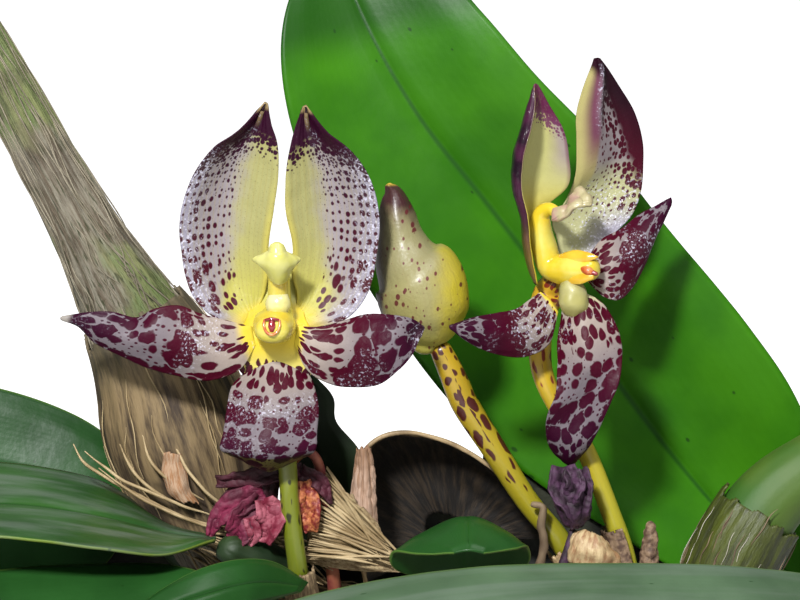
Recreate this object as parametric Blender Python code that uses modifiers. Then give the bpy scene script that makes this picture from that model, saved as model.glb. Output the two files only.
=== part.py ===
"""Bulbophyllum orchid: a lifted division with two open flowers, a bud and two spent flowers."""
import math

import bmesh
import bpy
from mathutils import Vector

MM = 0.001

# Driving dimensions, in millimetres.
FLOWER_A = (-17.1, 0.0, 58.3)
FLOWER_B = (21.9, 8.0, 63.1)
TEPAL_THICKNESS = 0.5
LIP_THICKNESS = 1.3
LEAF_THICKNESS = 1.1
SHEATH_THICKNESS = 0.4
SHEATH_CLEARANCE_LEFT = 0.9
SHEATH_CLEARANCE_RIGHT = 0.8
SHEATH_ANGLES = (-140, 140)
BRACT_CLEARANCE = 0.8
SPENT_THICKNESS = 1.2
ROOT_START = 0.5
MAT_CENTRE = (4.0, 13.0)
MAT_HALF_WIDTH = 45.0
MAT_HALF_DEPTH = 26.0
MAT_RIPPLE = 0.05

# The creeping rhizome, from its old left end to its growing tip.
RHIZOME = [(-29, 21, 21.0), (-14, 17, 17.6), (4, 14, 15), (24, 12, 12.4), (42, 13, 10.2), (58, 20, 8),
           (68, 27, 5.6)]


def clear_scene():
    for item in list(bpy.data.objects):
        bpy.data.objects.remove(item, do_unlink=True)


def plant_collection():
    collection = bpy.data.collections.new("bulbophyllum_orchid")
    bpy.context.scene.collection.children.link(collection)
    return collection


def coat(name, colour, roughness):
    """One plain Principled material."""
    material = bpy.data.materials.get(name)
    if material is None:
        material = bpy.data.materials.new(name)
        material.use_nodes = True
        shader = material.node_tree.nodes["Principled BSDF"]
        shader.inputs["Base Color"].default_value = (*colour, 1.0)
        shader.inputs["Roughness"].default_value = roughness
        shader.inputs["Metallic"].default_value = 0.0
    return material


def materials():
    return {
        "tepal": coat("tepal", (0.42, 0.16, 0.22), 0.35),
        "lip": coat("lip", (0.90, 0.78, 0.18), 0.35),
        "column": coat("column", (0.92, 0.68, 0.08), 0.3),
        "stalk": coat("stalk", (0.55, 0.60, 0.10), 0.4),
        "leaf": coat("leaf", (0.05, 0.28, 0.03), 0.35),
        "bulb": coat("bulb", (0.22, 0.33, 0.10), 0.5),
        "dry": coat("dry", (0.42, 0.30, 0.17), 0.8),
        "root": coat("root", (0.55, 0.52, 0.42), 0.9),
        "spent": coat("spent", (0.25, 0.03, 0.10), 0.6),
    }


def spline(points, t):
    """A smooth curve through the points, at t from 0 to 1."""
    last = len(points) - 1
    place = min(max(t, 0.0), 1.0) * last
    index = min(int(place), last - 1)
    f = place - index
    p1 = points[index]
    p2 = points[index + 1]
    p0 = points[index - 1] if index > 0 else 2 * p1 - p2
    p3 = points[index + 2] if index + 2 <= last else 2 * p2 - p1
    return 0.5 * (2 * p1 + (p2 - p0) * f + (2 * p0 - 5 * p1 + 4 * p2 - p3) * f * f
                  + (3 * p1 - p0 - 3 * p2 + p3) * f * f * f)


def surface(rows, u, t):
    """The point at u across and t along a surface through rows of points."""
    across = [spline([row[column] for row in rows], t) for column in range(len(rows[0]))]
    return spline(across, u)


def moved(rows, place):
    """Rows of plain tuples as vectors, moved to their place."""
    shift = Vector(place)
    return [[Vector(point) + shift for point in row] for row in rows]


class Plant:
    """Collects the named pieces of the plant."""

    def __init__(self):
        self.collection = plant_collection()
        self.coats = materials()

    def add(self, name, data, coat_name):
        item = bpy.data.objects.new(name, data)
        item.data.materials.append(self.coats[coat_name])
        self.collection.objects.link(item)
        return item

    def blade(self, name, rows, thickness, coat_name, across=6, along=12):
        """A thin blade through rows of points, with Solidify for its thickness."""
        grid = bmesh.new()
        bmesh.ops.create_grid(grid, x_segments=across, y_segments=along, size=1.0)
        for vert in grid.verts:
            vert.co = surface(rows, (vert.co.x + 1) / 2, (vert.co.y + 1) / 2) * MM
        mesh = bpy.data.meshes.new(name)
        grid.to_mesh(mesh)
        grid.free()
        item = self.add(name, mesh, coat_name)
        solid = item.modifiers.new("thickness", "SOLIDIFY")
        solid.thickness = thickness * MM
        solid.offset = 0.0
        mesh.shade_smooth()
        return item

    def tube(self, name, path, radii, coat_name, steps=12, sides=2):
        """A round stem along a smooth path, with its radius given at each point."""
        points = [Vector(point) for point in path]
        widths = [Vector((radius, 0, 0)) for radius in radii]
        curve = bpy.data.curves.new(name, "CURVE")
        curve.dimensions = "3D"
        curve.bevel_depth = MM
        curve.bevel_resolution = sides
        curve.use_fill_caps = True
        line = curve.splines.new("POLY")
        line.points.add(steps)
        for index in range(steps + 1):
            t = index / steps
            line.points[index].co = (*(spline(points, t) * MM), 1.0)
            line.points[index].radius = spline(widths, t).x
        return self.add(name, curve, coat_name)


def wrap_rows(axis, radii, first, last, clearance, stretch=(0.0, 1.0), rows=6, columns=5):
    """Rows of points around a stretch of a stem, from one angle to another. Angle 0 faces the viewer."""
    points = [Vector(point) for point in axis]
    widths = [Vector((radius, 0, 0)) for radius in radii]
    result = []
    for index in range(rows):
        t = stretch[0] + (stretch[1] - stretch[0]) * index / (rows - 1)
        centre = spline(points, t)
        direction = (spline(points, min(t + 0.02, 1)) - spline(points, max(t - 0.02, 0))).normalized()
        side = direction.cross(Vector((0, -1, 0))).normalized()
        front = side.cross(direction).normalized()
        reach = spline(widths, t).x + clearance
        row = []
        for column in range(columns):
            angle = math.radians(first + (last - first) * column / (columns - 1))
            row.append(centre + reach * (math.cos(angle) * front + math.sin(angle) * side))
        result.append(row)
    return result


# Flower A faces the viewer. Its points are in millimetres from the middle of its column.

A_LATERAL_LEFT = [
    [(-3.7, 1.6, -0.5), (-3.1, 2.0, 0.6), (-2.5, 2.8, 1.8)],
    [(-8.2, 1.3, 1.2), (-5.0, 2.7, 2.8), (-1.3, 3.2, 4.2)],
    [(-11.2, 1.0, 4.7), (-6.1, 3.4, 5.8), (-0.7, 2.9, 7.0)],
    [(-12.4, 0.5, 10.4), (-6.6, 3.8, 10.8), (-0.6, 2.2, 10.9)],
    [(-12.4, 0.0, 15.5), (-6.3, 3.8, 16.1), (0.1, 1.4, 15.5)],
    [(-10.7, -0.3, 20.5), (-5.3, 3.2, 21.2), (0.8, 0.8, 20.5)],
    [(-8.0, -0.5, 24.2), (-3.9, 2.2, 24.8), (0.7, 0.2, 24.6)],
    [(-4.5, -0.6, 26.7), (-2.3, 1.0, 27.7), (-0.1, -0.2, 27.3)],
    [(-1.2, -0.9, 30.2), (-0.9, -0.8, 30.5), (-0.6, -0.9, 30.2)],
]
A_LATERAL_RIGHT = [
    [(3.0, 2.8, 1.8), (3.4, 2.0, 0.6), (4.0, 1.6, -0.5)],
    [(3.1, 3.2, 4.2), (5.8, 2.7, 2.8), (9.7, 1.3, 0.9)],
    [(2.4, 2.9, 7.0), (7.2, 3.4, 5.6), (12.8, 1.0, 4.7)],
    [(2.5, 2.2, 10.9), (8.0, 3.8, 10.4), (14.0, 0.5, 10.1)],
    [(1.6, 1.4, 15.5), (7.8, 3.8, 15.5), (14.3, 0.0, 15.3)],
    [(1.6, 0.8, 19.8), (7.2, 3.2, 20.1), (13.0, -0.3, 20.3)],
    [(2.0, 0.2, 23.0), (6.1, 2.2, 23.9), (10.5, -0.5, 23.9)],
    [(3.0, -0.2, 26.9), (5.0, 1.0, 27.1), (7.2, -0.6, 26.6)],
    [(4.1, -0.9, 29.8), (4.4, -0.8, 30.1), (4.7, -0.9, 29.8)],
]
A_PETAL_LEFT = [
    [(-2.9, 0.2, 0.1), (-2.7, 0.0, -1.1), (-2.4, -0.2, -2.4)],
    [(-7.0, 0.0, 1.1), (-6.3, -0.9, -2.6), (-4.6, -0.6, -5.7)],
    [(-10.1, -0.4, 2.0), (-9.5, -1.8, -2.6), (-8.8, -0.4, -7.2)],
    [(-12.8, -1.0, 3.1), (-12.8, -2.4, -1.9), (-13.1, -0.2, -6.6)],
    [(-15.9, -1.4, 2.7), (-16.6, -2.6, -1.4), (-17.0, -0.4, -5.5)],
    [(-18.4, -0.6, 1.4), (-19.7, -2.0, -1.2), (-21.3, -0.6, -3.5)],
    [(-21.7, -1.4, 2.3), (-23.0, -1.8, 0.0), (-24.2, -0.6, -2.0)],
    [(-25.0, -1.2, 2.2), (-25.5, -1.2, 1.1), (-26.3, -0.6, 0.1)],
    [(-28.5, 0.0, 1.5), (-28.8, 0.0, 1.2), (-28.5, 0.0, 0.9)],
]
A_PETAL_RIGHT = [
    [(2.8, -0.2, -2.4), (3.0, 0.0, -1.1), (3.2, 0.2, 0.1)],
    [(4.7, -0.6, -5.9), (5.7, -0.9, -2.7), (6.6, 0.0, 0.1)],
    [(7.7, -0.4, -7.7), (9.2, -1.8, -3.1), (9.9, -0.4, 1.1)],
    [(10.7, -0.6, -8.1), (12.3, -2.6, -2.7), (12.6, -1.0, 1.9)],
    [(14.2, -1.6, -7.6), (15.3, -3.4, -2.4), (15.1, -1.8, 2.0)],
    [(16.7, -2.6, -5.7), (17.6, -2.8, -1.8), (17.1, -2.8, 1.9)],
    [(18.8, -2.2, -3.4), (19.0, -1.4, -0.8), (18.9, -2.4, 1.4)],
    [(20.1, -1.1, -0.5), (20.4, -1.0, -0.1), (20.3, -1.1, 0.3)],
]
A_DORSAL = [
    [(-2.2, 1.7, -2.5), (0.2, 1.2, -2.4), (2.6, 1.7, -2.5)],
    [(-3.9, 1.1, -6.1), (0.3, -0.2, -5.8), (4.5, 1.1, -6.1)],
    [(-5.7, 0.4, -8.2), (0.0, -2.2, -8.8), (5.5, 0.4, -8.2)],
    [(-6.3, -1.2, -10.9), (-0.1, -3.6, -11.5), (6.1, -1.2, -10.9)],
    [(-6.7, -2.8, -13.9), (-0.4, -4.8, -14.3), (5.9, -2.8, -13.9)],
    [(-7.1, -3.4, -16.1), (-0.7, -5.0, -16.6), (5.7, -3.4, -16.2)],
    [(-5.0, -1.8, -17.6), (-0.8, -3.2, -18.4), (3.9, -1.8, -17.6)],
    [(-2.0, 0.0, -19.0), (-0.7, -0.4, -19.7), (0.9, 0.0, -19.0)],
]
A_LIP = [
    [(-0.3, -3.2, 7.3), (0.9, -3.5, 7.2), (2.1, -3.2, 7.3)],
    [(-1.0, -3.9, 8.6), (0.9, -4.8, 8.4), (2.7, -3.9, 8.6)],
    [(-2.3, -3.9, 9.9), (0.8, -5.3, 9.6), (3.6, -3.9, 9.9)],
    [(-0.6, -4.2, 10.8), (0.7, -5.5, 10.6), (2.0, -4.2, 10.8)],
    [(0.4, -5.2, 12.0), (0.7, -5.4, 12.1), (1.0, -5.2, 12.0)],
]
A_COLUMN = [(0.0, -5.2, 0.3), (0.1, -3.0, 0.4), (0.2, -0.8, 0.6), (0.6, 0.7, 2.2), (0.9, 1.0, 4.5),
            (0.9, 0.6, 6.4), (0.9, -0.5, 7.6), (0.9, -2.1, 8.0)]
A_COLUMN_RADII = [1.8, 2.2, 2.3, 1.7, 1.4, 1.35, 1.25, 1.0]
A_STALK = [(0.2, 2.4, 0.4), (0.2, 3.7, -0.4), (0.5, 4.6, -3.6), (0.9, 3.8, -9), (1.75, 2.4, -19.2),
           (2.1, 2.4, -25), (3.1, 3.6, -34), (3.8, 7.6, -39.6), (4.0, 13.0, -41.2)]
A_STALK_RADII = [1.5, 2.5, 2.1, 1.6, 1.3, 1.3, 1.35, 1.4, 1.4]

# Flower B is turned to the right. Its points are in millimetres from below its column.

B_LATERAL_NEAR = [
    [(-3.1, -1.2, 0.2), (-3.4, -0.5, 0.2), (-3.5, 0.2, 0.3), (-3.5, 0.8, 0.4), (-3.4, 1.3, 0.6)],
    [(-4.0, -2.8, 4.8), (-4.5, -2.0, 4.8), (-4.8, -0.3, 4.8), (-4.7, 0.9, 4.8), (-4.3, 1.7, 4.8)],
    [(-4.5, -4.0, 9.6), (-5.3, -2.8, 9.6), (-5.2, -0.2, 9.6), (-4.3, 1.7, 9.6), (-2.6, 2.3, 9.8)],
    [(-5.4, -4.6, 13.7), (-6.4, -3.2, 13.7), (-6.0, -0.4, 13.7), (-2.9, 2.1, 13.7), (1.1, 1.3, 13.5)],
    [(-5.2, -4.6, 17.8), (-6.3, -3.2, 17.8), (-5.9, -0.4, 17.8), (-2.6, 2.0, 17.8), (1.2, 1.0, 17.6)],
    [(-4.2, -4.0, 21.5), (-5.3, -2.8, 21.5), (-4.9, -0.4, 21.5), (-2.4, 1.4, 21.5), (0.4, 0.6, 21.3)],
    [(-3.6, -3.0, 24.7), (-4.4, -2.2, 24.7), (-4.1, -0.8, 24.7), (-2.8, 0.4, 24.7), (-1.5, 0.2, 24.6)],
    [(-3.7, -1.7, 27.5), (-3.6, -1.6, 27.6), (-3.4, -1.4, 27.7), (-3.3, -1.2, 27.6), (-3.1, -1.1, 27.5)],
]
B_LATERAL_FAR = [
    [(0.2, 3.0, 1.8), (0.9, 3.2, 1.2), (1.8, 3.1, 1.0), (2.9, 2.8, 1.2)],
    [(-0.2, 3.6, 5.6), (1.6, 4.6, 4.8), (4.1, 5.4, 4.8), (7.1, 5.6, 5.8)],
    [(-0.9, 3.9, 8.6), (0.9, 5.0, 8.2), (5.2, 6.2, 8.1), (10.1, 6.6, 8.8)],
    [(0.9, 3.4, 11.2), (2.7, 4.8, 12.1), (6.6, 6.6, 12.2), (11.5, 7.4, 12.1)],
    [(2.2, 2.9, 14.9), (4.5, 4.0, 15.6), (7.7, 6.4, 15.8), (11.8, 7.6, 16.0)],
    [(2.3, 2.3, 19.2), (5.1, 3.2, 19.5), (8.1, 5.8, 19.5), (11.6, 7.0, 19.6)],
    [(2.2, 1.4, 23.2), (4.9, 2.4, 23.2), (7.5, 4.8, 23.3), (10.3, 5.8, 23.6)],
    [(3.0, 0.8, 26.7), (5.1, 1.6, 26.6), (6.7, 3.2, 26.7), (8.4, 4.0, 26.7)],
    [(4.0, 0.5, 29.5), (5.3, 1.0, 29.5), (6.0, 1.7, 29.5), (6.7, 2.2, 29.3)],
    [(4.5, 0.2, 31.0), (4.8, 0.4, 31.1), (5.1, 0.6, 31.1), (5.4, 0.8, 31.0)],
]
B_PETAL_FAR = [
    [(3.9, 0.9, 0.3), (3.8, 1.3, 1.8), (3.8, 1.7, 3.3)],
    [(6.1, -0.6, -1.6), (6.0, -0.2, 2.3), (5.7, 1.8, 6.0)],
    [(8.6, 0.4, -1.9), (8.7, 0.1, 3.7), (8.6, 2.8, 7.5)],
    [(11.1, 1.8, 1.1), (11.4, 1.6, 5.9), (11.0, 3.8, 9.3)],
    [(13.2, 3.0, 5.8), (13.3, 3.0, 8.1), (13.0, 4.2, 10.3)],
    [(14.7, 4.2, 8.8), (14.7, 4.2, 10.0), (14.5, 4.7, 11.1)],
    [(15.6, 5.0, 10.8), (15.6, 5.0, 11.2), (15.5, 5.0, 11.6)],
]
B_PETAL_NEAR = [
    [(-2.7, -2.2, -0.7), (-1.4, -2.5, -1.8), (-0.3, -2.4, -3.4)],
    [(-4.3, -3.6, -1.6), (-3.5, -4.6, -4.5), (-1.5, -3.2, -7.6)],
    [(-6.2, -5.0, -2.7), (-5.9, -6.4, -5.5), (-4.5, -4.8, -9.2)],
    [(-8.9, -7.0, -3.0), (-8.6, -8.2, -5.5), (-7.8, -6.6, -8.9)],
    [(-11.6, -8.6, -3.3), (-11.4, -9.6, -4.9), (-11.0, -8.4, -7.7)],
    [(-13.8, -10.0, -3.8), (-13.7, -10.6, -4.7), (-13.3, -10.0, -6.2)],
    [(-15.2, -11.0, -4.1), (-15.3, -11.0, -4.4), (-15.1, -11.0, -4.7)],
]
B_DORSAL = [
    [(0.2, -0.6, -1.0), (1.8, -1.2, -0.8), (3.4, -0.4, -1.0)],
    [(0.3, -1.2, -3.4), (2.8, -2.8, -3.2), (6.0, -1.4, -2.6)],
    [(-0.3, -1.8, -7.1), (3.3, -4.2, -6.7), (7.9, -2.4, -5.9)],
    [(-0.4, -3.0, -10.7), (3.8, -5.0, -10.3), (8.4, -3.6, -9.2)],
    [(-0.7, -4.6, -14.5), (3.6, -4.0, -13.8), (7.9, -5.4, -12.7)],
    [(-1.8, -4.6, -17.4), (2.3, -3.2, -17.0), (6.4, -5.0, -16.6)],
    [(-1.9, -3.2, -20.4), (1.5, -3.4, -20.4), (4.9, -3.6, -20.3)],
    [(-1.0, -1.6, -22.9), (1.4, -2.4, -23.0), (3.6, -2.0, -22.7)],
    [(1.1, -0.4, -24.9), (1.5, -0.6, -25.2), (2.0, -0.4, -24.9)],
]
B_LIP = [
    [(0.7, -3.4, 10.3), (0.8, -2.6, 10.7), (0.9, -1.9, 10.9)],
    [(1.6, -4.5, 11.2), (1.9, -3.1, 11.7), (2.1, -1.5, 12.1)],
    [(2.6, -4.8, 12.4), (2.8, -3.4, 12.6), (3.0, -1.6, 13.3)],
    [(3.4, -3.9, 13.2), (3.6, -3.5, 13.2), (3.7, -3.1, 13.4)],
]
B_COLUMN = [(4.1, -3.4, 2.6), (2.1, -1.8, 2.4), (0.2, -0.2, 2.2), (-1.4, 0.7, 2.9), (-2.2, 0.8, 5.5),
            (-2.7, 0.5, 8.0), (-2.5, 0.0, 9.8), (-1.5, -0.9, 10.5), (-0.4, -1.8, 10.1)]
B_COLUMN_RADII = [1.6, 2.1, 2.1, 1.7, 1.4, 1.3, 1.1, 0.9, 0.7]
B_STALK = [(-0.6, 2.3, 0.2), (-1.2, 3.8, -1.4), (-2.4, 3.9, -5.4), (-2.3, 2.6, -12.1), (0.2, 2.2, -17.8),
           (3.7, 2.6, -23.2), (7.1, 3.0, -31.5), (9.6, 3.4, -39), (10.6, 4.0, -47.6)]
B_STALK_RADII = [1.3, 2.2, 1.8, 1.5, 1.35, 1.35, 1.35, 1.4, 1.5]


def flower_a(plant):
    for name, rows in [("dorsal_sepal", A_DORSAL), ("lateral_sepal_left", A_LATERAL_LEFT),
                       ("lateral_sepal_right", A_LATERAL_RIGHT), ("petal_left", A_PETAL_LEFT),
                       ("petal_right", A_PETAL_RIGHT)]:
        plant.blade("flower_a_" + name, moved(rows, FLOWER_A), TEPAL_THICKNESS, "tepal")
    plant.blade("flower_a_lip", moved(A_LIP, FLOWER_A), LIP_THICKNESS, "lip", across=4, along=6)
    column = moved([A_COLUMN], FLOWER_A)[0]
    plant.tube("flower_a_column", column, A_COLUMN_RADII, "column", steps=14)
    stalk = moved([A_STALK], FLOWER_A)[0]
    plant.tube("flower_a_stalk", stalk, A_STALK_RADII, "stalk", steps=16)


def flower_b(plant):
    for name, rows in [("dorsal_sepal", B_DORSAL), ("lateral_sepal_left", B_LATERAL_NEAR),
                       ("lateral_sepal_right", B_LATERAL_FAR), ("petal_left", B_PETAL_NEAR),
                       ("petal_right", B_PETAL_FAR)]:
        plant.blade("flower_b_" + name, moved(rows, FLOWER_B), TEPAL_THICKNESS, "tepal")
    plant.blade("flower_b_lip", moved(B_LIP, FLOWER_B), LIP_THICKNESS, "lip", across=4, along=6)
    column = moved([B_COLUMN], FLOWER_B)[0]
    plant.tube("flower_b_column", column, B_COLUMN_RADII, "column", steps=14)
    stalk = moved([B_STALK], FLOWER_B)[0]
    plant.tube("flower_b_stalk", stalk, B_STALK_RADII, "stalk", steps=16)


# Everything below is in millimetres from the middle of the underside.

BUD = [(3.4, 9, 54.6), (3.5, 9, 56.2), (3.4, 9, 58.6), (3.2, 9, 61.2), (2.4, 9, 64.2), (1.0, 9, 66.6),
       (0.2, 9, 69.2), (-0.4, 9, 72.4), (-0.9, 9, 75.4), (-1.6, 9, 76.7)]
BUD_RADII = [1.8, 4.0, 5.7, 6.3, 6.1, 4.6, 3.3, 2.6, 1.5, 0.4]
BUD_STALK = [(5.6, 9, 54.0), (7.2, 9, 50.6), (9.0, 8.8, 46.4), (12.6, 8.4, 40.8), (17.6, 8.2, 33.0),
             (22.0, 8.4, 27.6), (25.0, 9.6, 21.8), (26.0, 11.2, 15.8)]
BUD_STALK_RADII = [1.5, 1.8, 1.9, 1.75, 1.6, 1.55, 1.5, 1.5]


def bud(plant):
    plant.tube("bud", BUD, BUD_RADII, "lip", steps=18, sides=4)
    plant.tube("bud_stalk", BUD_STALK, BUD_STALK_RADII, "stalk", steps=14)


# Each pseudobulb is its axis, from its foot to where its leaf starts, with the radius at each point.

BULBS = {
    "pseudobulb_left": ([(-25.4, 19, 25.4), (-30.5, 18, 40), (-33.8, 17, 51), (-38.6, 16, 60.5),
                         (-45.0, 14.5, 72.6), (-54.4, 13, 90.4), (-60.9, 12.5, 102.1)],
                        [6.8, 9.6, 8.2, 6.2, 4.4, 3.6, 3.3]),
    "pseudobulb_right": ([(42.0, 12, 14.6), (44.4, 10, 20), (47.6, 9.5, 27), (51.5, 10, 33), (58, 10.5, 38),
                          (66.5, 11.1, 42.5)], [3.0, 5.2, 5.6, 5.2, 4.6, 3.6]),
    "pseudobulb_back": ([(66.9, 30.8, 7.2), (64.0, 32.0, 10.6), (60.2, 31.6, 15.5)], [2.6, 4.2, 2.4]),
    "pseudobulb_low_back": ([(-25.4, 25.6, 19.4), (-30.6, 30, 22.6), (-36, 31, 27.6)], [2.8, 3.8, 2.2]),
    "pseudobulb_low_middle": ([(-15.4, 11.6, 21.4), (-19.5, 6.5, 24.6), (-23.4, 2.4, 27.4)], [2.8, 3.4, 2.0]),
    "pseudobulb_low_front": ([(-18.8, 14.0, 16.6), (-21.4, 5.0, 15.8), (-21.6, -1.8, 18.4)], [2.4, 3.6, 2.2]),
    "pseudobulb_middle": ([(8.2, 8.6, 15.0), (8.6, 6.6, 18.0), (8.8, 6, 20.6)], [2.6, 3.2, 2.2]),
    "pseudobulb_front": ([(51.6, 12.8, 9.4), (57.5, 4, 12), (61.6, -4.6, 16.0)], [2.6, 4.0, 2.4]),
}

LEAVES = {
    "leaf_back": [
        [(59.2, 30.2, 15.6), (59.8, 31.4, 16.2), (60.6, 31.0, 16.8)],
        [(44.5, 27.5, 17.5), (51.4, 31.0, 22.0), (62.0, 27.5, 28.0)],
        [(30.8, 26.5, 25.0), (41.5, 31.0, 32.8), (57.2, 26.5, 43.3)],
        [(15.9, 26.5, 35.4), (31.9, 31.0, 45.4), (49.4, 26.0, 55.4)],
        [(4.3, 26.5, 47.6), (22.9, 31.0, 58.3), (38.5, 26.0, 68.3)],
        [(-5.7, 26.5, 62.6), (12.9, 31.0, 71.5), (28.6, 26.5, 80.9)],
        [(-13.6, 27.0, 78.3), (3.6, 31.0, 83.3), (19.5, 27.5, 90.4)],
        [(-16.7, 28.0, 91.2), (-3.1, 32.0, 94.2), (11.9, 29.5, 99.2)],
        [(-15.8, 31.0, 101.2), (-7.6, 34.5, 103.8), (4.4, 33.0, 106.4)],
        [(-10.8, 36.5, 109.2), (-9.6, 37.0, 109.8), (-8.0, 37.0, 110.2)],
    ],
    "leaf_left": [
        [(-61.9, 10.6, 102.6), (-61.6, 12.6, 103.0), (-61.4, 14.6, 103.4)],
        [(-69.0, 3.0, 110.0), (-67.4, 13.0, 112.6), (-66.6, 23.0, 114.0)],
        [(-82.0, -5.0, 121.5), (-80.6, 13.5, 125.0), (-79.4, 31.0, 126.0)],
        [(-100.0, -8.0, 128.0), (-100.0, 14.0, 131.6), (-99.0, 35.0, 131.5)],
        [(-118.0, -6.0, 127.0), (-120.0, 14.5, 129.8), (-118.0, 34.5, 129.5)],
        [(-134.0, 1.0, 117.5), (-137.0, 15.0, 119.5), (-134.5, 28.0, 119.0)],
        [(-146.5, 13.5, 104.0), (-147.5, 15.0, 103.4), (-146.5, 16.5, 104.0)],
    ],
    "leaf_right": [
        [(67.2, 9.4, 43.4), (67.2, 11.2, 43.0), (67.2, 13.0, 43.4)],
        [(77.0, 1.0, 49.5), (77.5, 11.6, 47.0), (77.0, 22.0, 49.5)],
        [(93.0, -6.0, 54.5), (94.0, 12.0, 51.5), (93.5, 30.0, 54.5)],
        [(112.0, -8.0, 54.5), (114.0, 12.5, 51.5), (112.5, 33.0, 54.5)],
        [(130.0, -4.0, 47.5), (132.5, 13.0, 45.0), (130.5, 30.0, 47.5)],
        [(144.0, 5.0, 36.0), (147.0, 13.5, 34.0), (144.5, 22.0, 36.0)],
        [(152.5, 12.5, 24.0), (153.2, 13.5, 23.4), (152.5, 14.5, 24.0)],
    ],
    "leaf_low_back": [
        [(-37.0, 29.6, 27.6), (-37.3, 31.2, 28.6), (-37.0, 32.8, 29.6)],
        [(-44.5, 25.0, 18.6), (-46.0, 30.0, 31.0), (-43.5, 33.0, 39.1)],
        [(-56.0, 22.0, 14.0), (-60.0, 29.5, 33.6), (-58.0, 33.0, 45.1)],
        [(-74.0, 20.0, 13.2), (-78.0, 28.0, 34.0), (-76.0, 32.0, 47.1)],
        [(-93.0, 20.0, 13.4), (-97.0, 27.0, 29.6), (-95.5, 31.0, 40.6)],
        [(-110.0, 23.5, 15.1), (-112.5, 27.0, 21.6), (-111.5, 29.5, 27.6)],
        [(-121.5, 26.0, 11.8), (-122.0, 26.6, 12.4), (-121.7, 27.4, 13.0)],
    ],
    "leaf_low_middle": [
        [(-25.2, 0.6, 29.0), (-25.4, 2.0, 28.4), (-25.2, 3.4, 28.8)],
        [(-31.5, -8.0, 28.6), (-31.0, 1.5, 29.4), (-32.5, 9.0, 29.4)],
        [(-40.0, -13.0, 30.4), (-41.0, 0.5, 32.2), (-42.0, 13.0, 34.6)],
        [(-55.0, -15.0, 32.6), (-57.0, 0.0, 34.2), (-58.0, 14.5, 37.4)],
        [(-75.0, -14.0, 33.0), (-77.0, 1.0, 34.0), (-77.0, 14.5, 36.6)],
        [(-95.0, -9.0, 29.0), (-97.0, 2.0, 29.6), (-96.0, 11.5, 31.4)],
        [(-112.5, 1.4, 20.6), (-113.2, 2.6, 20.4), (-112.5, 3.8, 20.8)],
    ],
    "leaf_low_front": [
        [(-21.4, -4.0, 18.6), (-21.8, -2.9, 19.4), (-21.4, -1.8, 20.4)],
        [(-28.0, -21.0, 15.0), (-29.0, -11.0, 19.6), (-28.0, -2.5, 25.4)],
        [(-42.0, -30.0, 10.0), (-44.0, -16.0, 17.6), (-42.0, -4.0, 26.4)],
        [(-58.0, -33.0, 6.0), (-60.0, -18.5, 15.4), (-58.0, -7.0, 25.6)],
        [(-76.0, -31.0, 3.0), (-78.0, -20.0, 11.0), (-77.0, -10.0, 20.0)],
        [(-91.0, -26.0, 1.6), (-92.5, -20.5, 6.0), (-92.0, -15.0, 11.0)],
        [(-102.0, -20.8, 0.8), (-102.5, -20.0, 1.2), (-102.4, -19.0, 2.0)],
    ],
    "leaf_small_left": [
        [(-13.4, -1.4, 22.2), (-13.0, -0.2, 22.6), (-12.6, 1.0, 23.0)],
        [(-21.0, -10.5, 21.8), (-19.5, -8.0, 24.6), (-18.0, -4.5, 27.0)],
        [(-27.5, -15.5, 20.6), (-26.0, -13.0, 24.0), (-24.8, -9.5, 27.4)],
        [(-33.5, -17.5, 20.0), (-33.0, -15.5, 22.0), (-32.0, -13.0, 24.4)],
        [(-38.5, -17.2, 18.6), (-38.6, -16.8, 18.9), (-38.4, -16.3, 19.3)],
    ],
    "leaf_small_back": [
        [(-13.6, 17.0, 21.3), (-12.6, 17.3, 21.3), (-11.6, 17.0, 21.3)],
        [(-15.5, 16.6, 27.0), (-11.0, 17.6, 27.0), (-6.2, 16.6, 27.0)],
        [(-16.0, 16.4, 33.0), (-11.0, 17.6, 33.0), (-5.6, 16.6, 33.0)],
        [(-16.0, 16.2, 38.0), (-11.5, 17.4, 38.0), (-5.5, 16.4, 38.4)],
        [(-15.8, 16.2, 43.0), (-12.4, 17.2, 43.0), (-8.9, 16.4, 42.8)],
        [(-15.2, 16.2, 46.5), (-12.8, 17.0, 46.6), (-9.4, 16.3, 46.2)],
        [(-13.9, 16.2, 49.4), (-13.0, 16.5, 49.8), (-12.0, 16.3, 49.3)],
    ],
    "leaf_middle": [
        [(7.0, 5.4, 21.6), (8.9, 5.6, 21.7), (10.8, 5.4, 21.6)],
        [(-0.6, 1.0, 25.0), (8.8, 4.0, 26.0), (17.0, 1.0, 25.0)],
        [(-1.2, -2.2, 28.2), (8.9, 1.4, 31.2), (17.2, -2.2, 28.2)],
        [(2.0, -6.0, 28.6), (9.2, -4.0, 32.0), (15.4, -6.0, 28.8)],
        [(7.2, -9.2, 29.0), (9.2, -9.6, 29.4), (11.2, -9.2, 29.0)],
    ],
    "leaf_front": [
        [(61.0, -6.6, 16.0), (61.8, -5.8, 16.6), (62.6, -5.0, 17.2)],
        [(52.0, -30.0, 16.4), (56.0, -22.0, 22.4), (59.0, -15.0, 25.8)],
        [(37.0, -46.0, 18.4), (41.0, -36.0, 26.0), (44.0, -28.0, 30.6)],
        [(16.0, -56.0, 18.4), (18.0, -44.0, 27.2), (20.0, -34.5, 32.6)],
        [(-6.0, -60.0, 14.4), (-5.0, -48.0, 24.4), (-4.0, -38.0, 30.8)],
        [(-26.0, -58.0, 9.0), (-27.0, -49.0, 17.0), (-26.5, -41.0, 24.0)],
        [(-42.0, -53.0, 3.4), (-43.5, -48.0, 9.6), (-43.0, -43.5, 14.4)],
        [(-53.0, -46.8, 0.8), (-53.6, -46.2, 1.2), (-53.8, -45.4, 1.8)],
    ],
}


def leaves(plant):
    for name, rows in LEAVES.items():
        plant.blade(name, moved(rows, (0, 0, 0)), LEAF_THICKNESS, "leaf")


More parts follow.
